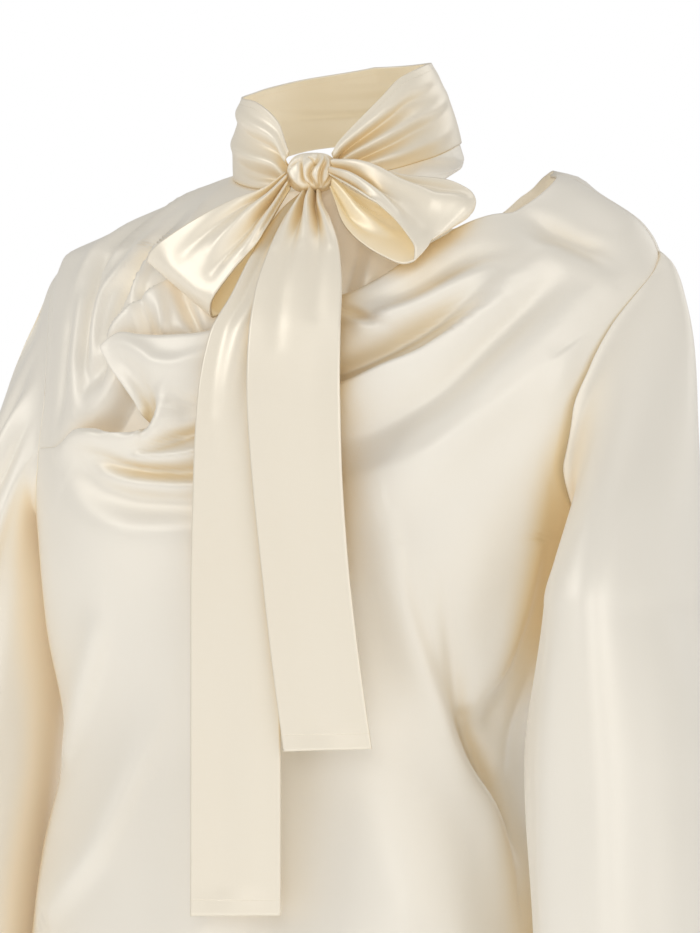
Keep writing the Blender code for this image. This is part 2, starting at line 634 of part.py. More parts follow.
def front_panel(body):
    """Outer front: the cowl above its foot and the body below it, which share one row of
    points. Returns the points, the faces and the armholes' last and next-to-last columns."""
    foot_right_z, foot_left_z = SWAG_EDGE[0][1], COWL_FOOT[-1][1]
    left_above = spread((BARE_SIDE_Z, SHOULDER_TIP_Z, foot_left_z), (SHOULDER_ROWS, ARM_ROWS_ABOVE))
    below = (ARM_ROWS_BELOW, SIDE_ROWS)
    right_side = body.side_path(spread((foot_right_z, UNDERARM_Z, HEM_Z), below), left=False)
    left_side = body.side_path(spread((foot_left_z, UNDERARM_Z, HEM_Z), below), left=True)
    shoulder_side = body.side_path(left_above, left=True)
    swag = along(SWAG_EDGE, fractions(SWAG_COLUMNS))
    swag[0] = right_side[0]
    foot = along(COWL_FOOT, fractions(COWL_COLUMNS))
    foot[-1] = left_side[0]
    neck = along(COWL_EDGE, fractions(COWL_COLUMNS))
    neck[-1] = shoulder_side[0]
    corner = along(COWL_CORNER, fractions(len(left_above) - 1))
    columns = SWAG_COLUMNS + COWL_COLUMNS + 1
    hem = np.column_stack([np.linspace(right_side[-1, 0], left_side[-1, 0], columns),
                           np.full(columns, HEM_Z)])
    lower = patch(right_side, left_side, np.concatenate([swag[:-1], foot]), hem)
    upper = patch(corner, shoulder_side, neck, foot)
    low, up = body.dress(lower, cowl_height), body.dress(upper, cowl_height)

    def rim_of(lower_row, upper_column, upper_row):
        return np.concatenate([lower_row[:SWAG_COLUMNS], upper_column[::-1], upper_row[1:]])

    rim = rim_of(low[0], up[:, 0], up[0])
    inside = rim_of(low[1], up[:, 1], up[1])
    inside[SWAG_COLUMNS] = low[1, SWAG_COLUMNS + 1]
    inside[SWAG_COLUMNS + len(up) - 1] = up[1, 1]
    places = rim_of(lower[0], upper[:, 0], upper[0])
    rolled = roll_edge(rim, inside, body.normal(places[:, 0], places[:, 1]))

    wide = COWL_COLUMNS + 1
    low_index = np.arange(low.shape[0] * columns).reshape(low.shape[0], columns)
    up_index = low_index.size + np.arange((len(up) - 1) * wide).reshape(len(up) - 1, wide)
    up_index = np.vstack([up_index, low_index[0, SWAG_COLUMNS:]])
    previous = rim_of(low_index[0], up_index[:, 0], up_index[0])
    faces = index_faces(low_index) + index_faces(up_index)
    for k in range(len(rolled)):
        start = low_index.size + (len(up) - 1) * wide + k * len(rim)
        current = np.arange(start, start + len(rim))
        faces += index_faces(np.vstack([current, previous]))
        previous = current
    points = np.concatenate([low.reshape(-1, 3), up[:-1].reshape(-1, 3)] + rolled)
    arm_low = slice(0, ARM_ROWS_BELOW + 1)
    arms = {"right": (low[arm_low, 0], low[arm_low, 1])}
    arms["left"] = tuple(np.concatenate([up[SHOULDER_ROWS:-1, c], low[arm_low, c]]) for c in (-1, -2))
    return points, faces, arms


def index_faces(index):
    """Faces of a grid whose points have the given numbers."""
    a, b = index[:-1, :-1], index[:-1, 1:]
    c, d = index[1:, :-1], index[1:, 1:]
    return np.stack([a, c, d, b], axis=-1).reshape(-1, 4).tolist()


def band_ring(angle, part):
    """Place on the band at an angle from the front and a part of the way up from its lower edge."""
    wrapped = (angle + 180.0) % 360.0 - 180.0
    low, high = smooth(BAND, wrapped, 1), smooth(BAND, wrapped, 2)
    x, y, radius = (a + (b - a) * part for a, b in zip(BAND_FOOT, BAND_TOP))
    radius = radius + BAND_BULGE * 4 * part * (1 - part)
    turn = np.radians(angle)
    return np.stack([x + radius * np.sin(turn), y - radius * np.cos(turn), low + (high - low) * part],
                    axis=-1)


def inner_panel(body):
    """Inner front: from the collar seam and the right shoulder down behind the cowl."""
    levels = spread((NECK_SIDE_Z, SHOULDER_TIP_Z, INNER_FOOT[0][1]), (SHOULDER_ROWS, ARM_ROWS_ABOVE))
    steps = fractions(INNER_COLUMNS)
    right_side = body.side_path(levels, left=False)
    neck = along(INNER_NECK, steps)
    neck[0] = right_side[0]
    free = along(INNER_FREE_EDGE, fractions(len(levels) - 1) ** INNER_BUNCHING)
    free[0] = neck[-1]
    foot = along(INNER_FOOT, steps)
    foot[0], foot[-1] = right_side[-1], free[-1]
    points = body.dress(patch(right_side, free, neck, foot), inner_height, calm=INNER_CALM)
    angles = COLLAR_SEAM[0] + (COLLAR_SEAM[1] - COLLAR_SEAM[0]) * steps
    seam = band_ring(angles, np.zeros_like(angles)) - [0.0, 0.0, COLLAR_GAP]
    depth = np.linalg.norm(points - points[:1], axis=-1, keepdims=True)
    points = points + (seam - points[0]) * (1 - ease(depth / COLLAR_BLEND))
    return points, grid_faces(*points.shape[:2]), (points[SHOULDER_ROWS:, 0], points[SHOULDER_ROWS:, 1])


def back_panel(body):
    """Back: one panel with a low, wide neckline."""
    counts = (SHOULDER_ROWS, ARM_ROWS_ABOVE + ARM_ROWS_BELOW, SIDE_ROWS)
    marks = (SHOULDER_TIP_Z, UNDERARM_Z, HEM_Z)
    right_side = body.side_path(spread((NECK_SIDE_Z, *marks), counts), left=False, back=True)
    left_side = body.side_path(spread((BARE_SIDE_Z, *marks), counts), left=True, back=True)
    neck = along(BACK_NECK, fractions(BACK_COLUMNS))
    neck[0], neck[-1] = right_side[0], left_side[0]
    hem = np.column_stack([np.linspace(right_side[-1, 0], left_side[-1, 0], BACK_COLUMNS + 1),
                           np.full(BACK_COLUMNS + 1, HEM_Z)])
    points = body.dress(patch(right_side, left_side, neck, hem), back_height, back=True)
    arm = slice(SHOULDER_ROWS, SHOULDER_ROWS + ARM_ROWS_ABOVE + ARM_ROWS_BELOW + 1)
    arms = {"right": (points[arm, 0], points[arm, 1]), "left": (points[arm, -1], points[arm, -2])}
    return points, flipped(grid_faces(*points.shape[:2])), arms


# ---------------------------------------------------------------- sleeves
def sleeve_ring(table, side, angle, z):
    """Points of a whole ring: angle 0 is away from the body and 90 is the front."""
    away, forward, across, deep = (smooth(table, z, column) for column in range(1, 5))
    turn = np.radians(angle)
    return np.stack([side * (away + across * np.cos(turn)),
                     -forward - deep * np.sin(turn),
                     np.full(len(angle), z)], axis=-1)


def sleeve(side, table, front, back):
    """A sleeve hung from an armhole, whose front and back are each the last two columns of the
    panels' points: rows of points, down from the armhole, each going round front first."""
    lowest = len(front[0]) - 1
    columns = []
    for front_column, back_column in zip(front, back):
        column = np.concatenate([front_column, back_column[-2:0:-1]])
        column[0] = (front_column[0] + back_column[0]) / 2
        column[lowest] = (front_column[-1] + back_column[-1]) / 2
        columns.append(column)
    loop, inside = columns
    depth = (loop[0, 2] - loop[:, 2:]) / (loop[0, 2] - loop[lowest, 2])
    turn = ease((depth - TURN_START) / (1 - TURN_START))
    away = unit(unit(loop - inside) * (1 - turn) + np.array([side, 0.0, TURN_DROP]) * turn)
    loop = loop + away * (SEAM * (1 + CROWN_GAP * ease(1 - depth / CROWN)) + turn * WALL / 2)
    reach = lengths(np.vstack([loop, loop[:1]]))
    in_front = np.arange(len(loop)) <= lowest
    behind = (reach[:-1] - reach[lowest]) / (reach[-1] - reach[lowest])
    angle = np.where(in_front, 180.0 * reach[:-1] / reach[lowest], 180.0 + 180.0 * behind)
    first = sleeve_ring(table, side, angle, CAP_END_Z)
    span = np.linalg.norm(first - loop, axis=1, keepdims=True)
    down = np.array([0.0, 0.0, -1.0])
    rows = []
    for t in fractions(CAP_ROWS):
        leaving = (2 * t ** 3 - 3 * t ** 2 + 1) * loop + (t ** 3 - 2 * t ** 2 + t) * away * span * CAP_SWEEP
        arriving = (3 * t ** 2 - 2 * t ** 3) * first + (t ** 3 - t ** 2) * down * span * CAP_DROP
        rows.append(leaving + arriving)
    for z in np.linspace(CAP_END_Z, SLEEVE_HEM_Z, SLEEVE_ROWS + 1)[1:]:
        rows.append(sleeve_ring(table, side, angle, z))
    rows = np.array(rows)
    out = unit((rows - rows.mean(axis=1, keepdims=True)) * [1.0, 1.0, 0.0])
    height = np.zeros(rows.shape[:2])
    for fold, top, lift, width in SLEEVE_FOLDS:
        off = (angle - fold + 180.0) % 360.0 - 180.0
        height += lift * ease((top - rows[..., 2]) / SLEEVE_FOLD_GROWTH) * np.exp(-(off / width) ** 2)
    points = rows + out * height[..., None]
    faces = grid_faces(*points.shape[:2], closed=True)
    return points, flipped(faces) if side > 0 else faces


# ---------------------------------------------------------------- scarf
def band():
    """The scarf round the neck, one strip whose two ends meet the knot."""
    start, end = BAND_ENDS
    angle = np.linspace(start, end, BAND_COLUMNS + 1)[None, :]
    part = np.linspace(1.0, 0.0, BAND_ROWS + 1)[:, None]
    angle, part = np.broadcast_arrays(angle, part)
    from_knot = np.minimum(start - angle, angle - end)
    gathered = 1 - ease(from_knot / BAND_PLEAT_REACH)
    pleat = BAND_PLEAT * np.cos(2 * np.pi * BAND_PLEATS * part) * gathered
    turn = np.radians(angle)
    out = np.stack([np.sin(turn), -np.cos(turn), np.zeros_like(turn)], axis=-1)
    points = band_ring(angle, part) + out * pleat[..., None]
    return points, grid_faces(*points.shape[:2])


def ribbon(stations, steps, across):
    """Strip of the scarf between the two edges that a table of stations gives."""
    path = along(stations, fractions(steps))
    part = fractions(across)[None, :, None]
    points = path[:, None, :3] * (1 - part) + path[:, None, 3:] * part
    return points, grid_faces(*points.shape[:2])


def tail(table, steps):
    """A hanging end of the scarf, gathered at the knot, with a slanted hem."""
    stations = [(right, -forward, z, left, -forward, z) for z, forward, right, left in table]
    stations[-1] = (*stations[-1][:5], stations[-1][5] + TAIL_MITRE)
    points, faces = ribbon(stations, steps, TAIL_ACROSS)
    width = np.linalg.norm(points[:, -1] - points[:, 0], axis=1)[:, None] / RIBBON
    gathered = 1.0 - ease((width - TAIL_GATHERED) / (TAIL_SPREAD - TAIL_GATHERED))
    wave = np.cos(2 * np.pi * TAIL_WAVES * fractions(TAIL_ACROSS))[None, :]
    points[..., 1] += TAIL_WAVE * gathered * wave
    return points, faces


def knot():
    """The wrapped centre of the bow, one rounded solid."""
    tilt = np.radians(np.linspace(-90.0, 90.0, KNOT_RINGS + 1)[1:-1])[:, None]
    turn = np.radians(np.linspace(0.0, 360.0, KNOT_SIDES, endpoint=False))[None, :]
    radius = np.cos(tilt) ** KNOT_SQUARE
    rings = np.stack([radius * np.cos(turn), radius * np.sin(turn),
                      np.broadcast_to(np.sin(tilt), (KNOT_RINGS - 1, KNOT_SIDES))], axis=-1)
    faces = flipped(grid_faces(KNOT_RINGS - 1, KNOT_SIDES, closed=True))
    top = (KNOT_RINGS - 2) * KNOT_SIDES
    faces.append(tuple(range(KNOT_SIDES))[::-1])
    faces.append(tuple(range(top, top + KNOT_SIDES)))
    return rings * KNOT_HALF + KNOT_CENTRE, faces


# ---------------------------------------------------------------- the garment
def main():
    for old in list(bpy.data.objects):
        bpy.data.objects.remove(old, do_unlink=True)
    body = Body()
    front, front_faces, front_arms = front_panel(body)
    inner, inner_faces, inner_arm = inner_panel(body)
    back, back_faces, back_arms = back_panel(body)
    add_cloth("front", front, front_faces, IVORY)
    add_cloth("front_inner", inner, inner_faces, IVORY)
    add_cloth("back", back, back_faces, IVORY)
    right_front = [np.concatenate(pair) for pair in zip(inner_arm, front_arms["right"])]
    add_cloth("sleeve_right", *sleeve(-1, SLEEVE_RIGHT, right_front, back_arms["right"]), IVORY)
    add_cloth("sleeve_left", *sleeve(1, SLEEVE_LEFT, front_arms["left"], back_arms["left"]), IVORY)
    add_cloth("collar_band", *band(), CREAM)
    add_piece("bow_knot", *knot(), CREAM)
    add_cloth("bow_loop_right", *ribbon(LOOP_RIGHT, LOOP_STEPS, LOOP_ACROSS), CREAM)
    add_cloth("bow_loop_left", *ribbon(LOOP_LEFT, LOOP_STEPS, LOOP_ACROSS), CREAM)
    add_cloth("tail_short", *tail(TAIL_SHORT, TAIL_SHORT_STEPS), CREAM)
    add_cloth("tail_long", *tail(TAIL_LONG, TAIL_LONG_STEPS), CREAM)


main()
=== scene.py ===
# %% [markdown]
# # A draped satin blouse with a scarf collar
#
# The blouse has a back, an outer front that falls open in a cowl, an inner front behind it, two
# loose sleeves, and a long scarf that stands round the neck and is tied in a bow with two tails.
# All of it is thin satin. Satin could be simulated from a flat cut, but a draped neckline depends
# on how it was pinned and pulled. Here each panel is instead a fine sheet laid over a general
# upper body, and its folds are given in short tables, in centimetres.
#
# The first cell loads the model that all pieces are fitted to and keeps its parts, which the pieces hide
# later.

# %% Load the frame
import math

import bpy
import numpy as np
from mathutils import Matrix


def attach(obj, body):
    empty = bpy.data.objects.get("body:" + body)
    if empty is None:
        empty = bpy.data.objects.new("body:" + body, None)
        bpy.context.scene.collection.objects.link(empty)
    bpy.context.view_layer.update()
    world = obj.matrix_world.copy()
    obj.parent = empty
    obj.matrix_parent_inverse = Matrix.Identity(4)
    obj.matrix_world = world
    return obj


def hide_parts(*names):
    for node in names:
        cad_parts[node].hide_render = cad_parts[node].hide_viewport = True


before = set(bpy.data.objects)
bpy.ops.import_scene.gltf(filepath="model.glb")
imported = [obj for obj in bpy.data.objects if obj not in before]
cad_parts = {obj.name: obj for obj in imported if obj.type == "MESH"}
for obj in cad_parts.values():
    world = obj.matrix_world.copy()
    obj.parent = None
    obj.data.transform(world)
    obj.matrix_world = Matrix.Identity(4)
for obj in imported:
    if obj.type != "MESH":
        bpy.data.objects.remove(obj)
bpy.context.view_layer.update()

# %% [markdown]
# ## Camera
#
# The blouse is seen from the front and a little from the wearer's left, level with the chest, with
# a long lens from far away. A long lens keeps both shoulders in proportion.

# %% Camera
CM = 0.01
AZIMUTH = math.radians(24.0)
LEVEL = math.radians(90.0)
DISTANCE = 240.0
AIM = (-0.30, -0.13, -19.4)
LENS = 138.9
FILM_HEIGHT = 36.0


def add_object(name, data):
    """An object that is seen in the scene."""
    thing = bpy.data.objects.new(name, data)
    bpy.context.collection.objects.link(thing)
    return thing


def add_camera():
    """The camera stands level with its aim, turned round from the front."""
    data = bpy.data.cameras.new("camera")
    data.sensor_fit = "VERTICAL"
    data.sensor_height = FILM_HEIGHT
    data.lens = LENS
    camera = add_object("camera", data)
    back = np.array([math.sin(AZIMUTH), -math.cos(AZIMUTH), 0.0])
    camera.location = (np.array(AIM) + DISTANCE * back) * CM
    camera.rotation_euler = (LEVEL, 0.0, AZIMUTH)
    bpy.context.scene.camera = camera
    print("camera at", tuple(round(v, 3) for v in camera.location))


add_camera()

# %% [markdown]
# ## Shader helper
#
# Shader maths is easier to read as an expression, so a small class wraps a socket, and sums and
# products of it add their own nodes. A second class builds a node tree. Any other node comes from
# its one method, which takes the node's type, its settings and its inputs.

# %% Shader helper
class Socket:
    """A value in a shader. Sums and products of it add the nodes that work them out."""

    def __init__(self, nodes, socket):
        self.nodes = nodes
        self.socket = socket

    def __add__(self, other):
        return self.nodes.maths("ADD", self, other)

    __radd__ = __add__

    def __sub__(self, other):
        return self.nodes.maths("SUBTRACT", self, other)

    def __rsub__(self, other):
        return self.nodes.maths("SUBTRACT", other, self)

    def __mul__(self, other):
        return self.nodes.maths("MULTIPLY", self, other)

    __rmul__ = __mul__


class Nodes:
    """The node tree of a new material or world."""

    def __init__(self, owner):
        owner.use_nodes = True
        self.owner = owner
        self.tree = owner.node_tree
        self.tree.nodes.clear()

    def add(self, kind, settings, inputs, output=0):
        """A node of a type: its settings first, then the values or links of its sockets."""
        node = self.tree.nodes.new(kind)
        for key, value in settings.items():
            setattr(node, key, value)
        for key, value in inputs.items():
            if isinstance(value, Socket):
                self.tree.links.new(value.socket, node.inputs[key])
            else:
                node.inputs[key].default_value = value
        return Socket(self, node.outputs[output]) if node.outputs else node

    def maths(self, operation, *values):
        return self.add("ShaderNodeMath", {"operation": operation}, dict(enumerate(values)))

    def parts(self, vector):
        """The first two numbers of a vector."""
        apart = self.add("ShaderNodeSeparateXYZ", {}, {0: vector})
        return [Socket(self, apart.socket.node.outputs[k]) for k in (0, 1)]

    def finish(self, kind, shader):
        """The tree's end; gives back what the tree belongs to."""
        self.add(kind, {}, {"Surface": shader})
        return self.owner


print("shader helper ready")

# %% [markdown]
# ## Floor and light
#
# Satin shows the room it hangs in. A plain pale floor and an evenly bright room give the cream its
# clean look. Two soft lamps beside the camera, level with the chest, model the folds from both
# sides, a small one in front gives the sheen, and weak ones above and behind draw the outline. The
# room's light comes from the world's background, which the camera itself sees as plain white.

# %% Floor, world and lamps
FLOOR_Z = -0.95
FLOOR_RADIUS = 9.0
FLOOR_SIDES = 64
FLOOR_GREY = (0.93, 0.93, 0.93, 1.0)
FLOOR_ROUGHNESS = 0.9
FLOOR_GLOW = 0.35
WHITE = (1.0, 1.0, 1.0, 1.0)
ROOM_COLOUR = (1.0, 0.995, 0.985, 1.0)
ROOM_LIGHT = 0.46
LAMP_TARGET = (0.0, 0.0, -0.25)
LAMPS = (
    # name    place (m)          size  power  colour
    ("key",   (2.8, -1.8, 0.4),  1.3,  15.5,  (1.0, 0.985, 0.96)),
    ("fill",  (-2.2, -2.0, 1.1), 1.1,  17.5,  (1.0, 0.99, 0.97)),
    ("front", (1.0, -2.8, 0.4),  0.8,  9.5,   (1.0, 0.99, 0.97)),
    ("top",   (0.3, 0.2, 2.4),   1.4,  6.0,   (1.0, 1.0, 1.0)),
    ("rim",   (1.4, 2.6, 1.2),   2.0,  12.0,  (1.0, 1.0, 1.0)),
)


def add_lamp(name, place, size, power, colour):
    """One square softbox that looks at the chest: its -Z points there."""
    data = bpy.data.lights.new(name, "AREA")
    data.size = size
    data.energy = power
    data.color = colour
    lamp = add_object(name, data)
    lamp.location = place
    way = np.array(LAMP_TARGET) - np.array(place)
    flat = math.hypot(way[0], way[1])
    lamp.rotation_euler = (math.atan2(flat, -way[2]), 0.0, math.atan2(way[1], way[0]) - math.pi / 2)


def add_floor():
    """A pale disc well below the hem."""
    turn = np.linspace(0.0, 2 * math.pi, FLOOR_SIDES, endpoint=False)
    rim = [(FLOOR_RADIUS * math.cos(t), FLOOR_RADIUS * math.sin(t), FLOOR_Z) for t in turn]
    mesh = bpy.data.meshes.new("floor")
    mesh.from_pydata(rim, [], [tuple(range(len(rim)))])
    n = Nodes(bpy.data.materials.new("pale_floor"))
    paint = n.add("ShaderNodeBsdfPrincipled", {}, {
        "Base Color": FLOOR_GREY,
        "Roughness": FLOOR_ROUGHNESS,
        "Emission Color": WHITE,
        "Emission Strength": FLOOR_GLOW,
    })
    mesh.materials.append(n.finish("ShaderNodeOutputMaterial", paint))
    add_object("floor", mesh)


def studio():
    """A world that lights the blouse evenly and looks white."""
    n = Nodes(bpy.data.worlds.new("studio"))
    seen = n.add("ShaderNodeBackground", {}, {"Color": WHITE})
    lit = n.add("ShaderNodeBackground", {}, {"Color": ROOM_COLOUR, "Strength": ROOM_LIGHT})
    ray = n.add("ShaderNodeLightPath", {}, {})
    both = n.add("ShaderNodeMixShader", {}, {0: ray, 1: lit, 2: seen})
    return n.finish("ShaderNodeOutputWorld", both)


bpy.context.scene.world = studio()
bpy.context.scene.view_settings.view_transform = "Standard"
for row in LAMPS:
    add_lamp(*row)
add_floor()
print("lamps", [row[0] for row in LAMPS])


# %% [markdown]
# ## Curves and tables
#
# The shapes are worked out from short tables. `smooth` reads a column of a table between its rows
# without overshooting them, which a plain spline would do. `along` runs a curve through the rows,
# and `patch` fills the space between four such curves, as a tailor chalks a panel between its edges.

# %% Curves, tables and patches
TINY = 1e-9                 # the shortest length that a direction is divided by


def smooth(table, at, column):
    """Value of a table's column at a place in its first column: monotone cubic steps."""
    rows = np.array(table, float)
    knots = rows[:, 0]
    values = rows[:, column]
    gap = np.diff(knots)
    rise = np.diff(values) / gap
    slope = np.zeros(len(knots))
    slope[0], slope[-1] = rise[0], rise[-1]
    before, after = rise[:-1], rise[1:]
    climbing = before * after > 0
    slope[1:-1][climbing] = (2 * before * after)[climbing] / (before + after)[climbing]
    at = np.clip(at, knots[0], knots[-1])
    i = np.clip(np.searchsorted(knots, at) - 1, 0, len(gap) - 1)
    u = (at - knots[i]) / gap[i]
    start = (1 + 2 * u) * (1 - u) ** 2 * values[i] + u * (1 - u) ** 2 * gap[i] * slope[i]
    end = u * u * (3 - 2 * u) * values[i + 1] - u * u * (1 - u) * gap[i] * slope[i + 1]
    return start + end


def fractions(count):
    """Fractions 0 to 1 in equal steps."""
    return np.linspace(0.0, 1.0, count + 1)


def lengths(points):
    """Distance along a row of points from its first point."""
    steps = np.linalg.norm(np.diff(points, axis=0), axis=1)
    return np.concatenate([[0.0], np.cumsum(steps)])


def unit(vectors):
    """Vectors of length 1 in the same directions."""
    return vectors / np.maximum(np.linalg.norm(vectors, axis=-1, keepdims=True), TINY)


def along(points, steps):
    """Points at the given fractions of the length of a smooth curve through a table's rows."""
    rows = np.array(points, float)
    reach = lengths(rows)
    table = np.column_stack([reach / reach[-1], rows])
    return np.stack([smooth(table, steps, c + 1) for c in range(rows.shape[1])], axis=-1)


def ease(x):
    """0 below 0, 1 above 1, and a smooth step between."""
    x = np.clip(x, 0.0, 1.0)
    return x * x * (3 - 2 * x)


def wrapped(degrees):
    """The same angles between -180 and 180 degrees."""
    return (degrees + 180.0) % 360.0 - 180.0


def spread(marks, counts):
    """Levels that run from mark to mark in the given numbers of equal steps."""
    stretches = zip(marks[:-1], marks[1:], counts)
    parts = [np.linspace(a, b, count, endpoint=False) for a, b, count in stretches]
    return np.concatenate(parts + [[marks[-1]]])


def patch(right, left, top, bottom):
    """Places that fill the space between four edges, each place a mix of the edges' places."""
    v = np.linspace(0, 1, len(right))[:, None, None]
    u = np.linspace(0, 1, len(top))[None, :, None]
    sides = (1 - u) * right[:, None] + u * left[:, None]
    ends = (1 - v) * top[None] + v * bottom[None]
    upper = (1 - u) * right[0] + u * left[0]
    lower = (1 - u) * right[-1] + u * left[-1]
    return sides + ends - (1 - v) * upper - v * lower


print("ease at a quarter", float(ease(0.25)))

# %% [markdown]
# ## The body under the cloth
#
# A blouse takes its form from the figure in it. The figure is left out: only its smooth general
# outline is needed, as horizontal sections, each a rounded box given by its half-widths, its
# depths and how square its corners are. The panels are placed on it by the distance `s` round it
# from the centre front or centre back, positive to the wearer's left, and by the height `z`.

# %% The body's surface
TORSO = (
    # z      right  left   front  back  power
    (-64.0,  24.4,  17.0,  12.6,  11.5, 2.3),
    (-50.0,  22.9,  15.4,  12.3,  10.5, 2.3),
    (-45.0,  22.1,  14.3,  11.8,  9.0,  2.3),
    (-38.0,  20.6,  12.9,  11.3,  7.5,  2.3),
    (-30.0,  21.8,  15.6,  12.3,  8.5,  2.35),
    (-25.0,  22.1,  17.4,  13.2,  9.4,  2.4),
    (-20.0,  22.3,  19.0,  13.5,  10.2, 2.4),
    (-15.0,  22.3,  20.6,  12.8,  10.3, 2.3),
    (-10.0,  22.4,  21.6,  11.3,  9.8,  2.1),
    (-7.5,   22.4,  21.9,  10.3,  9.2,  1.95),
    (-5.0,   21.8,  21.0,  9.0,   8.5,  1.75),
    (-3.6,   18.5,  19.4,  8.4,   8.1,  1.65),
    (-2.5,   15.5,  17.6,  7.9,   7.8,  1.65),
    (-1.5,   13.0,  15.4,  7.4,   7.6,  1.7),
    (-0.7,   10.7,  13.3,  7.0,   7.4,  1.75),
    (0.4,    8.0,   8.0,   6.4,   7.0,  2.0),
    (3.0,    7.2,   7.2,   5.4,   6.6,  2.0),
)
SIDE_EDGE = (
    # z      front  back
    (-64.0,  0.0,   0.0),
    (-28.0,  0.4,   0.4),
    (-24.0,  1.0,   1.0),
    (-23.2,  3.4,   -1.6),
    (-21.5,  5.8,   -4.5),
    (-19.0,  7.0,   -5.6),
    (-16.0,  7.0,   -5.8),
    (-13.0,  6.1,   -5.3),
    (-10.5,  4.8,   -4.3),
    (-8.3,   3.0,   -2.9),
    (-6.5,   1.0,   -1.0),
    (-5.6,   0.0,   0.0),
    (3.0,    0.0,   0.0),
)
RING_STEP = 0.25
RING_POINTS = 720
LAST_RING = 1.001           # the form is read just short of its lowest section
NORMAL_REACH = 0.3          # distance over which the form's direction is read
FORM_CALM = (-9.0, 4.0)     # below this height, over this depth, the sections are evened out
FORM_CALM_PASSES = 24
SEAM = 0.03                 # gap between two sewn pieces


def evened(values, z, passes):
    """A column of section sizes with its small kinks smoothed away below the shoulders."""
    calm = ease((FORM_CALM[0] - z) / FORM_CALM[1])
    for _ in range(passes):
        around = (np.roll(values, 1) + values * 2 + np.roll(values, -1)) / 4
        around[0], around[-1] = values[0], values[-1]
        values = values + (around - values) * calm
    return values


class Body:
    """The general form that the cloth lies on, reached by distance round it and by height."""

    def __init__(self):
        self.top = TORSO[-1][0]
        self.z = np.arange(self.top, TORSO[0][0] - 2 * RING_STEP, -RING_STEP)
        angle = np.radians(np.linspace(-180.0, 180.0, RING_POINTS + 1))
        sizes = [evened(smooth(TORSO, self.z, c), self.z, FORM_CALM_PASSES) for c in range(1, 6)]
        right, left, front, back, power = (size[:, None] for size in sizes)
        sine, cosine = np.sin(angle)[None], np.cos(angle)[None]
        width = np.where(sine > 0, left, right)
        depth = np.where(cosine > 0, front, back)
        self.x = width * np.sign(sine) * np.abs(sine) ** (2 / power)
        self.y = -depth * np.sign(cosine) * np.abs(cosine) ** (2 / power)
        self.middle = RING_POINTS // 2
        step = np.hypot(np.diff(self.x), np.diff(self.y))
        arc = np.concatenate([np.zeros((len(self.z), 1)), np.cumsum(step, axis=1)], axis=1)
        self.front_arc = arc - arc[:, self.middle:self.middle + 1]
        self.back_arc = np.where(angle[None] > 0, arc[:, -1:] - arc, -arc)

    def level(self, z):
        """The section above a height, and the part of the way from it to the next."""
        steps = np.clip((self.top - z) / RING_STEP, 0, len(self.z) - LAST_RING)
        return steps.astype(int), steps - steps.astype(int)

    def on_ring(self, s, row, back):
        """Points (x, y) of one section at distances s round it."""
        arc = (self.back_arc if back else self.front_arc)[row]
        order = np.argsort(arc, kind="stable")
        arc = arc[order]
        return np.stack([np.interp(s, arc, self.x[row][order]),
                         np.interp(s, arc, self.y[row][order])], axis=-1)

    def at(self, s, z, back=False):
        """Points of the body at distances s round it and heights z."""
        s, z = np.broadcast_arrays(np.asarray(s, float), np.asarray(z, float))
        row, part = self.level(z)
        points = np.zeros(s.shape + (3,))
        points[..., 2] = z
        for r in np.unique(row):
            here = row == r
            low = self.on_ring(s[here], r, back)
            high = self.on_ring(s[here], r + 1, back)
            points[here, :2] = low + (high - low) * part[here][:, None]
        return points

    def normal(self, s, z, back=False):
        """Outward directions of the body."""
        reach = NORMAL_REACH
        round_it = self.at(s + reach, z, back) - self.at(s - reach, z, back)
        up = self.at(s, z + reach, back) - self.at(s, z - reach, back)
        return unit(np.cross(up, round_it) if back else np.cross(round_it, up))

    def side(self, z, left, back=False):
        """Distance round the body of a panel's side edge at each height."""
        edge = -smooth(SIDE_EDGE, z, 2 if back else 1)
        arcs = self.back_arc if back else self.front_arc
        half = slice(self.middle, None) if left else slice(0, self.middle + 1)
        found = []
        for height, edge_y in zip(z, edge):
            row, part = self.level(np.array(height))
            pair = []
            for r in (row, row + 1):
                y, arc = self.y[r][half], arcs[r][half]
                order = np.argsort(y, kind="stable")
                pair.append(np.interp(edge_y, y[order], arc[order]))
            found.append(pair[0] + (pair[1] - pair[0]) * part)
        return np.array(found)

    def side_path(self, levels, left, back=False):
        """Side edge of a panel at the given heights, drawn in by half a seam gap."""
        s = self.side(levels, left, back)
        return np.column_stack([s - np.sign(s) * SEAM / 2, levels])

    def from_sides(self, s, z, back=False):
        """Distances from the right and left side edges of a panel."""
        rows = np.arange(np.min(z), np.max(z) + RING_STEP, RING_STEP)
        right = np.interp(z, rows, self.side(rows, False, back))
        left = np.interp(z, rows, self.side(rows, True, back))
        return s - right, left - s


body = Body()
print("body sections", len(body.z), "waist half-width", round(float(smooth(TORSO, -38.0, 1)), 1), "cm")
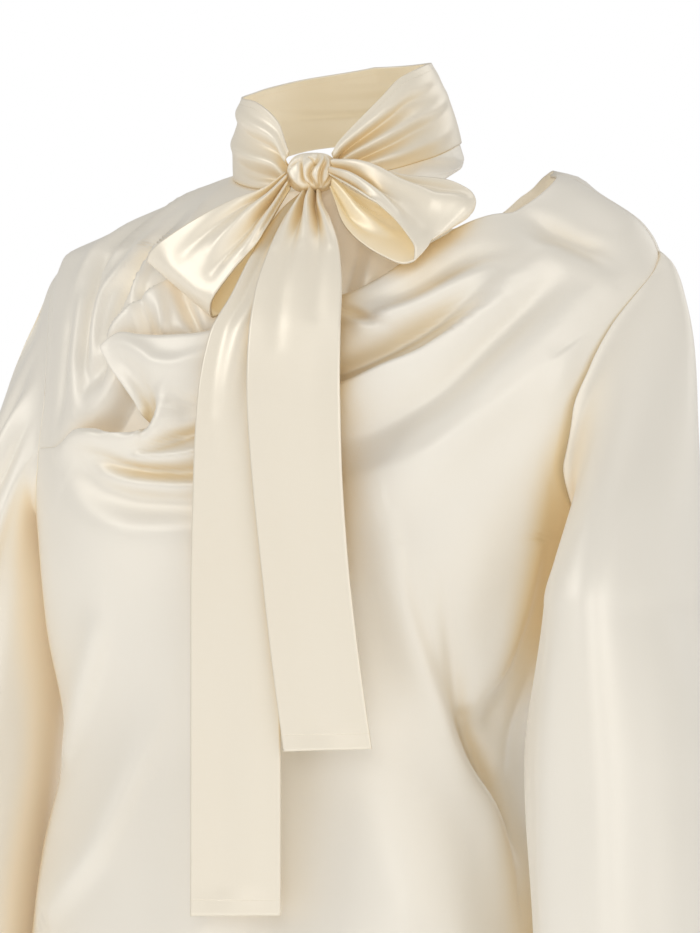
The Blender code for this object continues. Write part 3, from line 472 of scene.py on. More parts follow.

# %% [markdown]
# ## Satin
#
# Satin floats its warp over the weft, so it is smooth and catches the light in broad soft bands.
# Up close it still shows fine threads. The finish is a shader with a moderate roughness. Its
# colour, roughness and surface vary by fine streaks along the two thread directions, which come
# from a flat map of each piece in centimetres. A second map gives the distance along and from a
# hem, so that the needle's dents and the turned edge under the cloth follow it.
#
# Between near folds the light bounces from cloth to cloth and turns golden. That is painted into
# the colour: a golden painted shade where other cloth is close. Thin cloth also lets some light
# through to its shaded side, which is painted as a glow.

# %% Satin recipe
# Painted shade: where other cloth is this near, the colour is turned towards a golden painted shade.
PAINTED_SHADE_REACH = 0.035        # how near other cloth deepens the colour, in metres
PAINTED_SHADE_SAMPLES = 8
OPEN_SHARE = (0.35, 0.95)   # how open a place is when it is all crease, and when it is clear
THREADS = 26.0              # thread streaks for each centimetre
SLUBS = 0.7                 # how often a thread thickens along a centimetre
WARP_SHARE = 0.6            # how much of the streaks is warp; the rest is weft
WARP_SEED = 3.0
WEFT_SEED = 8.0
CLOUDS = 6.0                # colour clouds for each metre
CLOUD_TINT = 0.7
THREAD_TINT = 0.5
STITCH_TINT = 0.35
TINT_START = 0.15
HEM_DEPTH = 1.0             # distance of a hem's stitches from its edge
HEM_FADE = 0.05             # half-width of the line that the stitches pull in
STITCHES = 3.4              # stitches for each centimetre
STITCH_BEAT = 0.3           # how much a stitch's dent swings about its mean
THREAD_HEIGHT = 0.25
THREAD_ROUGHNESS = 0.10
COLOUR_MIX, COLOUR_A, COLOUR_B, COLOUR_OUT = 0, 6, 7, 2     # sockets of a colour Mix node
BLACK = (0.0, 0.0, 0.0, 1.0)


def streaks(n, flat, scale, seed):
    """Noise drawn out along one thread direction."""
    moved = n.add("ShaderNodeMapping", {}, {"Vector": flat, "Scale": scale,
                                            "Location": (seed, seed, 0.0)})
    return n.add("ShaderNodeTexNoise", {"noise_dimensions": "2D"},
                 {"Vector": moved, "Scale": 1.0, "Detail": 2.0, "Roughness": 0.6})


def fade(n, value, start, end):
    """1 where a value is at its start, 0 at its end, and a smooth step between."""
    return n.add("ShaderNodeMapRange", {"interpolation_type": "SMOOTHSTEP"},
                 {"Value": value, "From Min": start, "From Max": end, "To Min": 1.0, "To Max": 0.0})


def mix(n, part, first, second):
    """A colour between two."""
    return n.add("ShaderNodeMix", {"data_type": "RGBA"},
                 {COLOUR_MIX: part, COLOUR_A: first, COLOUR_B: second}, output=COLOUR_OUT)


def needle_line(n):
    """1 on the line that a hem's stitches pull in, deepest at each stitch."""
    way, off = n.parts(n.add("ShaderNodeUVMap", {"uv_map": "hem"}, {}))
    line = fade(n, n.maths("ABSOLUTE", off - HEM_DEPTH), 0.0, HEM_FADE)
    beat = n.maths("SINE", way * (2 * math.pi * STITCHES))
    return line * (beat * STITCH_BEAT + (1 - STITCH_BEAT))


def satin(name, light, deep, painted_shade_and_glow, roughness, painted_glow=0.0, in_folds=False):
    """Satin with faint threads, cloudy colour, a golden painted shade where cloth is near, and hem
    stitches.

    painted_glow is an emission painted in for the light that comes through the cloth: everywhere, or only
    where it is folded.
    """
    n = Nodes(bpy.data.materials.new(name))
    flat = n.add("ShaderNodeUVMap", {"uv_map": "cloth"}, {})
    place = n.add("ShaderNodeTexCoord", {}, {}, output=3)
    warp = streaks(n, flat, (THREADS, SLUBS, 1.0), WARP_SEED)
    weft = streaks(n, flat, (SLUBS, THREADS, 1.0), WEFT_SEED)
    threads = warp * WARP_SHARE + weft * (1 - WARP_SHARE)
    cloud = n.add("ShaderNodeTexNoise", {}, {"Vector": place, "Scale": CLOUDS, "Detail": 3.0})
    stitched = needle_line(n)
    tint = cloud * CLOUD_TINT + threads * THREAD_TINT + stitched * STITCH_TINT - TINT_START
    # Painted shade: an occlusion test finds nearby cloth, and there the base colour is mixed towards the
    # painted shade colour.
    nearby = n.add("ShaderNodeAmbientOcclusion", {"samples": PAINTED_SHADE_SAMPLES},
                   {"Distance": PAINTED_SHADE_REACH}, output=1)
    painted_shade_and_glow_mask = fade(n, nearby, *OPEN_SHARE)
    painted_shade_and_glow = (*painted_shade_and_glow, 1.0)
    bump = n.add("ShaderNodeBump", {}, {"Strength": 0.5, "Distance": 0.0003,
                                        "Height": threads * THREAD_HEIGHT - stitched})
    shader = n.add("ShaderNodeBsdfPrincipled", {}, {
        "Base Color": mix(n, painted_shade_and_glow_mask, mix(n, tint, (*light, 1.0), (*deep, 1.0)), painted_shade_and_glow),
        "Roughness": threads * THREAD_ROUGHNESS + (roughness - THREAD_ROUGHNESS / 2),
        "Metallic": 0.18,
        "Specular IOR Level": 0.6,
        # Painted glow: emission in the painted shade colour, everywhere or only where the painted shade is.
        "Emission Color": mix(n, painted_shade_and_glow_mask, BLACK, painted_shade_and_glow) if in_folds else painted_shade_and_glow,
        "Emission Strength": painted_glow,
        "Sheen Weight": 0.08,
        "Sheen Roughness": 0.4,
        "Normal": bump,
    })
    return n.finish("ShaderNodeOutputMaterial", shader)


print("threads", THREADS, "and stitches", STITCHES, "for each centimetre")

# %% [markdown]
# ## Five satins from one recipe
#
# The body and the scarf are the same cloth, but the scarf is double and lies thick round the neck,
# so it looks creamier and shinier. The sleeves and the inner front hang near other cloth, so they
# get a paler painted shade and a painted glow in their folds. Inner sides get a painted glow all
# over, and the scarf's inner side is a more golden copy of its colour, a painted shade.

# %% Finishes
BODY = ((0.885, 0.845, 0.765), (0.860, 0.800, 0.690))       # the light and the deep of its colour
SCARF = ((0.915, 0.852, 0.730), (0.885, 0.795, 0.640))
# The scarf's inner side: a more golden, deeper copy of the scarf's colours, painted shade for its shaded
# inside.
SCARF_INSIDE_SHADE = ((0.895, 0.815, 0.665), (0.860, 0.760, 0.570))
# A paler painted shade colour, also the colour of the painted glow.
PALE_SHADE_AND_GLOW = (0.865, 0.780, 0.630)
BODY_ROUGHNESS = 0.46
SCARF_ROUGHNESS = 0.36
# Each finish: its two tones, its painted shade colour (also its painted glow's colour), its roughness and
# its painted glow.
FINISHES = {
    "body_satin": satin("ivory_satin", *BODY, (0.800, 0.640, 0.390), BODY_ROUGHNESS),
    "pale_shade_fold_glow": satin("pale_shade_fold_glow_satin", *BODY, PALE_SHADE_AND_GLOW, BODY_ROUGHNESS, painted_glow=0.17, in_folds=True),
    "body_inside": satin("painted_glow_inside_satin", *BODY, PALE_SHADE_AND_GLOW, BODY_ROUGHNESS, painted_glow=0.20),
    "scarf_satin": satin("cream_satin", *SCARF, (0.830, 0.655, 0.385), SCARF_ROUGHNESS),
    "scarf_inside": satin("scarf_inside_shade_glow_satin", *SCARF_INSIDE_SHADE, (0.830, 0.710, 0.470), SCARF_ROUGHNESS,
                          painted_glow=0.15),
}
print("satins", [finish.name for finish in FINISHES.values()])

# %% [markdown]
# ## From points to cloth
#
# A panel is one layer of quads through the middle of the cloth. A Solidify modifier gives it its
# wall. That keeps both faces parallel, and the piece stays easy to reshape. Each piece carries its
# two maps, rides on the frame's one body and hides the plain solid that it takes the place of.

# %% Cloth pieces
BODY_WALL = 0.07            # satin with its turnings
WALLS = {"body_satin": BODY_WALL, "scarf_satin": 0.13}      # the scarf is double
NO_HEM = 9.0                # distance from a hem where there is none


def grid_index(rows, columns, first=0, closed=False):
    """Numbers of a grid's points; a closed grid's last column is its first again."""
    index = first + np.arange(rows * columns).reshape(rows, columns)
    return np.hstack([index, index[:, :1]]) if closed else index


def index_faces(index):
    """Faces of a grid whose points have the given numbers."""
    corners = index[:-1, :-1], index[1:, :-1], index[1:, 1:], index[:-1, 1:]
    return np.stack(corners, axis=-1).reshape(-1, 4)


def grid_faces(points, flip=False, closed=False):
    """Faces of a grid of points, or the same faces turned over."""
    return index_faces(grid_index(*points.shape[:2], closed=closed))[:, ::-1 if flip else 1]


def stack(*grids):
    """Grids of points one after another as one list."""
    return np.concatenate([grid.reshape(-1, grid.shape[-1]) for grid in grids])


def hem_below(flat, edge_z):
    """Hem map of a panel whose flat map is (s, z) and whose hem lies at edge_z."""
    return np.stack([flat[..., 0], np.minimum(flat[..., 1] - edge_z, NO_HEM)], axis=-1)


def no_hem(flat):
    """Hem map of a piece without a hem."""
    return np.stack([flat[..., 0], np.full(flat.shape[:-1], NO_HEM)], axis=-1)


def write_maps(mesh, flat, hem):
    """The two maps of a mesh, from two numbers for each of its points."""
    corner = np.zeros(len(mesh.loops), int)
    mesh.loops.foreach_get("vertex_index", corner)
    for layer, values in (("cloth", flat), ("hem", hem)):
        mesh.uv_layers.new(name=layer).data.foreach_set("uv", stack(values)[corner].ravel())


def add_piece(name, node, points, faces, flat, hem, slot, finish=None):
    """One piece. flat and hem give two numbers for each point."""
    mesh = bpy.data.meshes.new(name)
    mesh.from_pydata((stack(points) * CM).tolist(), [], faces)
    mesh.update()
    write_maps(mesh, flat, hem)
    mesh.shade_smooth()
    mesh.materials.append(FINISHES[finish or slot])
    piece = add_object(name, mesh)
    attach(piece, "root")
    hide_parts(node)
    area = sum(polygon.area for polygon in mesh.polygons)
    print(name, len(mesh.vertices), "points,", round(area, 4), "square metres")
    return piece


def add_cloth(name, node, points, faces, flat, hem, slot, finish=None, inside=None):
    """One piece of cloth, a single layer with a wall; inside is the finish of its other side."""
    piece = add_piece(name, node, points, faces.tolist(), flat, hem, slot, finish)
    thick = piece.modifiers.new("wall", "SOLIDIFY")
    thick.thickness = WALLS[slot] * CM
    thick.offset = 0.0
    if inside:
        piece.data.materials.append(FINISHES[inside])
        thick.material_offset = 1
    return piece


print("walls in cm", WALLS)

# %% [markdown]
# ## Folds
#
# A fold is a soft ridge or trough that runs along a curve. Its crest is drawn through a few places
# `(s, z, height)`, and its two flanks have their own widths: a narrow flank on one side makes the
# lapped edge of a drape, and a wide one lets it melt into the cloth. Simulated cloth makes such
# folds too, but not in these places. Besides them, slow ripples keep flat stretches from looking
# cast.

# %% Folds and ripples
CREST_STEPS = 20            # points along a fold's crest
FLANK_TURN = 0.4            # part of a fold's narrower width over which one flank becomes the other
RIPPLES = (
    # along s  along z  phase  height
    (0.55,     0.21,    0.4,   0.030),
    (-0.34,    0.47,    2.1,   0.035),
    (0.93,     -0.38,   4.0,   0.016),
    (0.17,     0.29,    5.2,   0.045),
    (1.31,     0.44,    1.3,   0.009),
)


def nearest_on(crest, s, z):
    """Distance of places from a crest, the side of it that they lie on, and its height there."""
    nearest = np.full(s.shape, np.inf)
    side = np.zeros(s.shape)
    height = np.zeros(s.shape)
    for a, b in zip(crest[:-1], crest[1:]):
        ds, dz = b[0] - a[0], b[1] - a[1]
        part = np.clip(((s - a[0]) * ds + (z - a[1]) * dz) / (ds * ds + dz * dz), 0.0, 1.0)
        off_s = s - a[0] - part * ds
        off_z = z - a[1] - part * dz
        far = np.hypot(off_s, off_z)
        nearer = far < nearest
        nearest = np.where(nearer, far, nearest)
        side = np.where(nearer, (ds * off_z - dz * off_s) / math.hypot(ds, dz), side)
        height = np.where(nearer, a[2] + (b[2] - a[2]) * part, height)
    return nearest, side, height


def fold_height(folds, s, z):
    """Height off the body at (s, z) that the folds of a table add up to."""
    total = np.zeros_like(s)
    for places, above, below in folds:
        nearest, side, height = nearest_on(along(places, fractions(CREST_STEPS)), s, z)
        turn = ease(side / (FLANK_TURN * min(above, below)) + 0.5)
        width = below + (above - below) * turn
        total += height * np.exp(-(nearest / width) ** 2)
    return total


def ripple_height(s, z):
    """Slow uneven waves."""
    return sum(height * np.sin(a * s + b * z + phase) for a, b, phase, height in RIPPLES)


print("a fold's crest has", CREST_STEPS, "steps")

# %% [markdown]
# ## Outer front
#
# The front is cut wide and falls open in a cowl from the bare left shoulder. Its lower right part
# is caught up in a swag, and the corner between them turns over. The curves below are the edges of
# the cloth on the unrolled body as places `(s, z)`, then its folds. They were set one by one: first
# the lapped ridges that cast a shade, then the soft ones between them.

# %% Edges and folds of the outer front
HEM_Z = -64.0
UNDERARM_Z = -24.0
SHOULDER_TIP_Z = -5.6
NECK_SIDE_Z = 0.4
BARE_SIDE_Z = -0.9
COWL_EDGE = (
    (-12.8, -12.0), (-12.1, -11.5), (-11.3, -11.25), (-9.9, -11.45), (-8.0, -11.6), (-5.9, -11.55),
    (-4.0, -11.3), (-1.0, -10.6), (2.4, -9.8), (4.7, -9.2), (6.1, -8.6), (7.7, -7.5), (9.2, -6.3),
    (11.0, -5.1), (12.6, -4.4), (14.2, -3.8), (15.5, -2.6), (16.9, -0.9),
)
COWL_CORNER = ((-12.8, -12.0), (-11.8, -13.3), (-10.7, -14.4), (-9.7, -15.5), (-8.9, -16.9))
SWAG_EDGE = (
    (-22.3, -18.3), (-18.2, -18.2), (-16.4, -17.7), (-14.6, -17.2), (-13.0, -17.1), (-11.2, -17.5),
    (-9.8, -17.4), (-8.9, -16.9),
)
COWL_FOOT = ((-8.9, -16.9), (-2.0, -18.0), (8.0, -18.4), (18.9, -17.4))
FRONT_FOLDS = (
    # the swag's lapped edge, the hook that it turns into, and the turned corner's shade
    (((-18.8, -18.6, 0.0), (-16.8, -18.0, 0.4), (-14.3, -17.3, 0.85), (-11.6, -17.5, 1.0),
      (-9.6, -17.6, 1.05), (-8.8, -17.3, 1.0), (-8.1, -16.7, 0.85), (-7.8, -16.0, 0.6),
      (-7.9, -15.3, 0.35), (-8.5, -14.7, 0.05)), 0.34, 1.3),
    (((-10.4, -13.6, -0.1), (-9.4, -14.7, -0.45), (-8.9, -15.8, -0.75), (-9.0, -16.6, -0.8)), 0.8, 0.4),
    (((-12.0, -12.4, -0.1), (-10.9, -13.0, -0.25), (-9.6, -13.6, -0.2), (-8.2, -14.4, -0.1)), 0.8, 0.8),
    # bands below the swag's edge
    (((-10.6, -18.7, -0.1), (-8.6, -18.2, -0.45), (-6.6, -17.6, -0.65), (-2.0, -16.4, -0.3)), 0.42, 0.42),
    (((-11.4, -18.9, 0.1), (-8.8, -18.9, 0.45), (-6.0, -18.7, 0.55), (-2.4, -17.9, 0.3)), 0.45, 0.4),
    (((-14.4, -18.5, -0.1), (-12.4, -18.9, -0.65), (-10.0, -19.4, -0.85), (-6.6, -19.7, -0.8),
      (-2.0, -19.2, -0.3)), 0.4, 0.7),
    (((-12.6, -20.0, 0.1), (-9.4, -20.5, 0.3), (-5.8, -20.6, 0.3), (-2.4, -20.0, 0.1)), 0.5, 0.7),
    (((-15.6, -18.9, -0.1), (-14.6, -19.8, -0.35), (-12.4, -21.0, -0.5), (-9.0, -21.6, -0.6),
      (-5.6, -21.7, -0.5), (-2.0, -21.2, -0.1)), 0.8, 1.5),
    (((-16.6, -20.6, 0.1), (-14.0, -22.4, 0.35), (-9.6, -23.6, 0.5), (-4.0, -23.4, 0.35)), 1.2, 2.2),
    # the neckline's edge on the right: a bead along it, a trough below it and a swell
    (((-12.2, -12.0, 0.05), (-11.0, -11.9, 0.2), (-9.4, -12.4, 0.35), (-8.0, -13.1, 0.4),
      (-6.8, -13.2, 0.35), (-5.0, -12.8, 0.2), (-3.0, -12.4, 0.05)), 0.55, 0.8),
    (((-7.2, -14.9, -0.05), (-6.2, -15.4, -0.25), (-4.4, -15.6, -0.3), (-2.0, -15.4, -0.1)), 0.6, 0.7),
    # cowl folds on the left, from its edge downwards
    (((4.2, -9.9, -0.2), (5.2, -10.1, -0.4), (6.2, -10.5, -0.4), (7.2, -10.7, -0.1)), 0.3, 0.35),
    (((5.0, -10.9, 0.1), (5.9, -10.7, 0.3), (7.8, -10.0, 0.45), (9.8, -9.0, 0.45), (11.4, -7.9, 0.35),
      (13.1, -7.0, 0.15)), 0.3, 0.8),
    (((5.6, -9.5, -0.1), (8.1, -8.9, -0.3), (10.0, -7.8, -0.4), (12.0, -6.7, -0.35),
      (14.0, -6.1, -0.1)), 0.5, 0.5),
    (((3.6, -14.0, -0.6), (5.4, -13.3, -0.75), (6.9, -12.6, -0.8), (8.7, -11.6, -0.8), (10.4, -10.5, -0.7),
      (11.9, -9.4, -0.45), (13.4, -8.2, -0.15)), 0.9, 0.42),
    (((3.0, -15.1, 0.8), (5.1, -14.5, 1.0), (7.5, -13.4, 1.05), (9.1, -12.7, 1.0), (10.4, -11.9, 0.9),
      (11.6, -10.9, 0.7), (12.8, -9.8, 0.4), (14.4, -8.6, 0.1)), 0.24, 1.7),
    (((10.8, -5.2, 0.1), (12.4, -4.0, 0.25), (13.8, -3.0, 0.3), (15.2, -2.2, 0.1)), 0.3, 1.0),
    (((10.6, -11.4, 0.1), (12.4, -9.4, 0.35), (14.5, -7.6, 0.45), (16.0, -6.4, 0.35),
      (17.2, -5.4, 0.1)), 0.6, 1.3),
    (((4.6, -17.8, -0.15), (7.1, -17.0, -0.35), (8.8, -16.2, -0.4), (11.1, -14.6, -0.45),
      (13.3, -12.3, -0.5), (16.0, -9.4, -0.45), (18.1, -7.3, -0.15)), 1.1, 1.2),
    (((8.4, -18.6, 0.1), (12.0, -16.0, 0.35), (15.2, -12.8, 0.45), (18.6, -9.0, 0.2)), 1.1, 1.6),
    (((14.6, -3.9, -0.15), (16.2, -4.4, -0.7), (17.6, -4.8, -0.85), (19.2, -5.4, -0.7), (20.6, -6.2, -0.3),
      (21.8, -6.9, -0.05)), 0.6, 1.0),
    (((14.2, -5.4, 0.1), (16.4, -5.7, 0.3), (18.6, -6.4, 0.3), (20.6, -7.6, 0.1)), 0.7, 1.1),
    (((5.4, -20.4, 0.25), (10.5, -18.6, 0.35), (13.6, -16.4, 0.3), (17.6, -13.0, 0.15)), 0.9, 2.6),
    (((7.4, -23.0, -0.05), (11.0, -21.2, -0.25), (14.6, -18.0, -0.3), (17.6, -15.4, -0.1)), 1.4, 1.8),
    # from the bust to the waist and the hip
    (((8.0, -22.4, 0.1), (8.7, -28.2, 0.45), (10.3, -34.2, 0.7), (11.8, -38.4, 0.85),
      (13.8, -41.2, 0.9), (15.6, -46.0, 0.4)), 0.55, 1.7),
    (((11.1, -27.0, -0.1), (11.3, -31.0, -0.35), (11.5, -34.6, -0.6), (12.6, -37.6, -0.9),
      (14.4, -40.6, -0.8), (16.0, -44.0, -0.2)), 0.9, 0.5),
    (((18.3, -21.4, 0.1), (17.6, -24.2, 0.35), (16.4, -28.3, 0.6), (14.4, -32.3, 0.75),
      (12.6, -34.2, 0.4)), 0.6, 1.5),
    (((16.9, -30.0, -0.1), (16.0, -32.6, -0.35), (14.2, -35.2, -0.4), (12.8, -36.4, -0.1)), 0.8, 0.7),
    (((16.6, -33.4, 0.1), (15.2, -36.0, 0.35), (14.8, -38.6, 0.3)), 0.6, 0.8),
    (((-13.4, -28.7, 0.1), (-14.2, -30.8, 0.5), (-16.4, -34.4, 0.6), (-19.3, -38.4, 0.4)), 0.8, 1.8),
    (((-8.1, -33.9, 0.1), (-11.6, -40.0, 0.65), (-14.2, -44.6, 0.8), (-19.4, -49.0, 0.5)), 0.85, 2.4),
    (((-2.0, -40.0, 0.1), (-5.0, -48.0, 0.5), (-10.0, -57.0, 0.5)), 1.2, 2.6),
    (((4.0, -30.0, 0.05), (5.4, -38.0, 0.2), (8.4, -47.0, 0.3)), 1.6, 2.2),
    (((1.0, -50.0, 0.1), (2.0, -57.0, 0.6), (2.6, -64.0, 0.8)), 2.2, 2.2),
    (((12.0, -50.0, 0.1), (12.6, -57.0, 0.6), (13.0, -64.0, 0.9)), 2.0, 2.0),
    (((-10.0, -54.0, 0.1), (-11.0, -58.0, 0.6), (-11.6, -64.0, 0.8)), 2.0, 2.0),
)
COWL_STAND = 1.4            # how far the cowl's edge stands off the body
COWL_FALL = 5.0
COWL_LEFT = (18.6, 9.0)
COWL_RIGHT = (-17.6, 4.6)
FOLD_CALM = 2.0             # distance from a side seam over which folds die out
SEAM_DIP = 0.05             # how far the cloth dips into a side seam
SEAM_DIP_WIDTH = 0.28
NECK_HUMP = 0.9             # how far the rolled neckline rises at the bare shoulder
NECK_HUMP_PLACE = (13.9, 2.2)
NECK_HUMP_REACH = (2.3, 3.0)
SHOULDER_SWELL = 0.45       # how far the shoulder seam beside it is held up
SHOULDER_SWELL_SPAN = (13.6, 15.4, 19.4, 21.6)
SHOULDER_SWELL_REACH = 3.6
SHOULDER_FOOT = -8.0        # the swelling starts at this height
SHOULDER_FOOT_REACH = 4.0   # and is whole this much higher


def shoulder_lift(points):
    """How far the cloth swells along the left shoulder, the same in front and behind."""
    x, y = points[..., 0], points[..., 1]
    across = (x - NECK_HUMP_PLACE[0]) / NECK_HUMP_REACH[0]
    deep = (y - NECK_HUMP_PLACE[1]) / NECK_HUMP_REACH[1]
    start, full, fading, end = SHOULDER_SWELL_SPAN
    swell = ease((x - start) / (full - start)) * ease((end - x) / (end - fading))
    swell = swell * np.exp(-(y / SHOULDER_SWELL_REACH) ** 2)
    above = ease((points[..., 2] - SHOULDER_FOOT) / SHOULDER_FOOT_REACH)
    return (NECK_HUMP * np.exp(-across ** 2 - deep ** 2) + SHOULDER_SWELL * swell) * above


def dress(places, height, back=False, calm=FOLD_CALM):
    """Points of a panel: its places on the body, moved out by its height there."""
    s, z = places[..., 0], places[..., 1]
    from_right, from_left = body.from_sides(s, z, back)
    seamed = ease(from_right / calm) * ease(from_left / calm)
    dip = sum(np.exp(-(np.maximum(edge, 0.0) / SEAM_DIP_WIDTH) ** 2) for edge in (from_right, from_left))
    lift = height(s, z) * seamed + ripple_height(s, z) * seamed - SEAM_DIP * dip
    points = body.at(s, z, back)
    return points + body.normal(s, z, back) * (lift + shoulder_lift(points))[..., None]


def cowl_height(s, z):
    """How far the outer front stands off the body: the cowl's edge most."""
    drop = np.maximum(smooth(COWL_EDGE, s, 1) - z, 0.0)
    stand = COWL_STAND * np.exp(-(drop / COWL_FALL) ** 2)
    stand *= ease((COWL_LEFT[0] - s) / COWL_LEFT[1]) * ease((s - COWL_RIGHT[0]) / COWL_RIGHT[1])
    return stand + fold_height(FRONT_FOLDS, s, z)


print("folds of the outer front", len(FRONT_FOLDS))

# %% Outer front
ARM_INSIDE = 9               # columns between an armhole and where its direction is read
SHOULDER_ROWS = 16
ARM_ROWS_ABOVE = 62
ARM_ROWS_BELOW = 26
SIDE_ROWS = 74
COWL_COLUMNS = 156
SWAG_COLUMNS = 64
ROLL = 0.3                  # radius of the cowl's rolled edge
ROLL_FLAT = 0.3             # part of that radius left on the turned corner and the swag
ROLL_TURNS = 7
ROLL_ANGLE = 165.0
ROLL_START = 3.0            # distance from the turned corner over which the roll grows
ROLL_END = 6.0              # distance from the shoulder over which it shrinks again


def roll_edge(rim, inside, outward, radius):
    """Rows that roll a free edge inwards; rim and inside are the panel's last two rows."""
    tangent = unit(np.gradient(rim, axis=0))
    out = rim - inside
    out = unit(out - np.sum(out * tangent, axis=1, keepdims=True) * tangent)
    normal = np.cross(out, tangent)
    normal *= np.sign(np.sum(normal * outward, axis=1, keepdims=True))
    turns = np.radians(ROLL_ANGLE * fractions(ROLL_TURNS)[1:])
    return [rim + radius * (np.sin(a) * out - (1 - np.cos(a)) * normal) for a in turns]


def hem_between(right_side, left_side, columns):
    """Places of a level hem between the lowest places of two sides."""
    return np.column_stack([np.linspace(right_side[-1, 0], left_side[-1, 0], columns),
                            np.full(columns, HEM_Z)])


def front_places():
    """Places of the front's lower part and of the cowl above it, each filled from four edges."""
    foot_right_z, foot_left_z = SWAG_EDGE[0][1], COWL_FOOT[-1][1]
    left_above = spread((BARE_SIDE_Z, SHOULDER_TIP_Z, foot_left_z), (SHOULDER_ROWS, ARM_ROWS_ABOVE))
    below = (ARM_ROWS_BELOW, SIDE_ROWS)
    right_side = body.side_path(spread((foot_right_z, UNDERARM_Z, HEM_Z), below), left=False)
    left_side = body.side_path(spread((foot_left_z, UNDERARM_Z, HEM_Z), below), left=True)
    shoulder_side = body.side_path(left_above, left=True)
    swag = along(SWAG_EDGE, fractions(SWAG_COLUMNS))
    swag[0] = right_side[0]
    foot = along(COWL_FOOT, fractions(COWL_COLUMNS))
    foot[-1] = left_side[0]
    neck = along(COWL_EDGE, fractions(COWL_COLUMNS))
    neck[-1] = shoulder_side[0]
    corner = along(COWL_CORNER, fractions(len(left_above) - 1))
    hem = hem_between(right_side, left_side, SWAG_COLUMNS + COWL_COLUMNS + 1)
    lower = patch(right_side, left_side, np.concatenate([swag[:-1], foot]), hem)
    return lower, patch(corner, shoulder_side, neck, foot)


def rim_of(lower_row, upper_column, upper_row):
    """The free edge: along the swag, up the turned corner and along the neckline."""
    return np.concatenate([lower_row[:SWAG_COLUMNS], upper_column[::-1], upper_row[1:]])


def front_roll(lower, upper, low, up):
    """The free edge's places, and the rows that roll it inwards."""
    rim = rim_of(low[0], up[:, 0], up[0])
    inside = rim_of(low[1], up[:, 1], up[1])
    corner = SWAG_COLUMNS + len(up) - 1
    inside[SWAG_COLUMNS] = low[1, SWAG_COLUMNS + 1]
    inside[corner] = up[1, 1]
    places = rim_of(lower[0], upper[:, 0], upper[0])
    reach = lengths(rim)
    radius = ROLL * (ROLL_FLAT + (1 - ROLL_FLAT) * ease((reach - reach[corner]) / ROLL_START)
                     * ease((reach[-1] - reach) / ROLL_END))
    return places, roll_edge(rim, inside, body.normal(places[:, 0], places[:, 1]), radius[:, None])


def front_faces(low, up, rolled):
    """Faces of the lower part, of the cowl, which shares its last row with it, and of the roll."""
    low_index = grid_index(*low.shape[:2])
    up_index = grid_index(len(up) - 1, up.shape[1], low_index.size)
    whole_up = np.vstack([up_index, low_index[0, SWAG_COLUMNS:]])
    rim = rim_of(low_index[0], whole_up[:, 0], whole_up[0])
    roll_index = grid_index(len(rolled), len(rim), low_index.size + up_index.size)
    parts = low_index, whole_up, np.vstack([roll_index[::-1], rim])
    return np.concatenate([index_faces(part) for part in parts])


def front_points():
    """Points, faces, flat map and the armholes' last and next-to-last columns."""
    lower, upper = front_places()
    low, up = dress(lower, cowl_height), dress(upper, cowl_height)
    places, rolled = front_roll(lower, upper, low, up)
    points = stack(low, up[:-1], *rolled)
    flat = stack(lower, upper[:-1], *[places] * len(rolled))
    arm = slice(0, ARM_ROWS_BELOW + 1)
    left = [np.concatenate([up[SHOULDER_ROWS:-1, c], low[arm, c]]) for c in (-1, -1 - ARM_INSIDE)]
    arms = {"right": (low[arm, 0], low[arm, ARM_INSIDE]), "left": left}
    return points, front_faces(low, up, rolled), flat, arms


points, faces, flat, front_arms = front_points()
front = add_cloth("outer_front", "front", points, faces, flat, hem_below(flat, HEM_Z), "body_satin")

# %% [markdown]
# ## Inner front
#
# A second layer closes the neck behind the cowl. It is sewn to the scarf collar along its top and
# to the right shoulder, and it sinks behind the outer front. Its folds fall from the collar to the
# turned corner of the cowl, where they are crushed together.

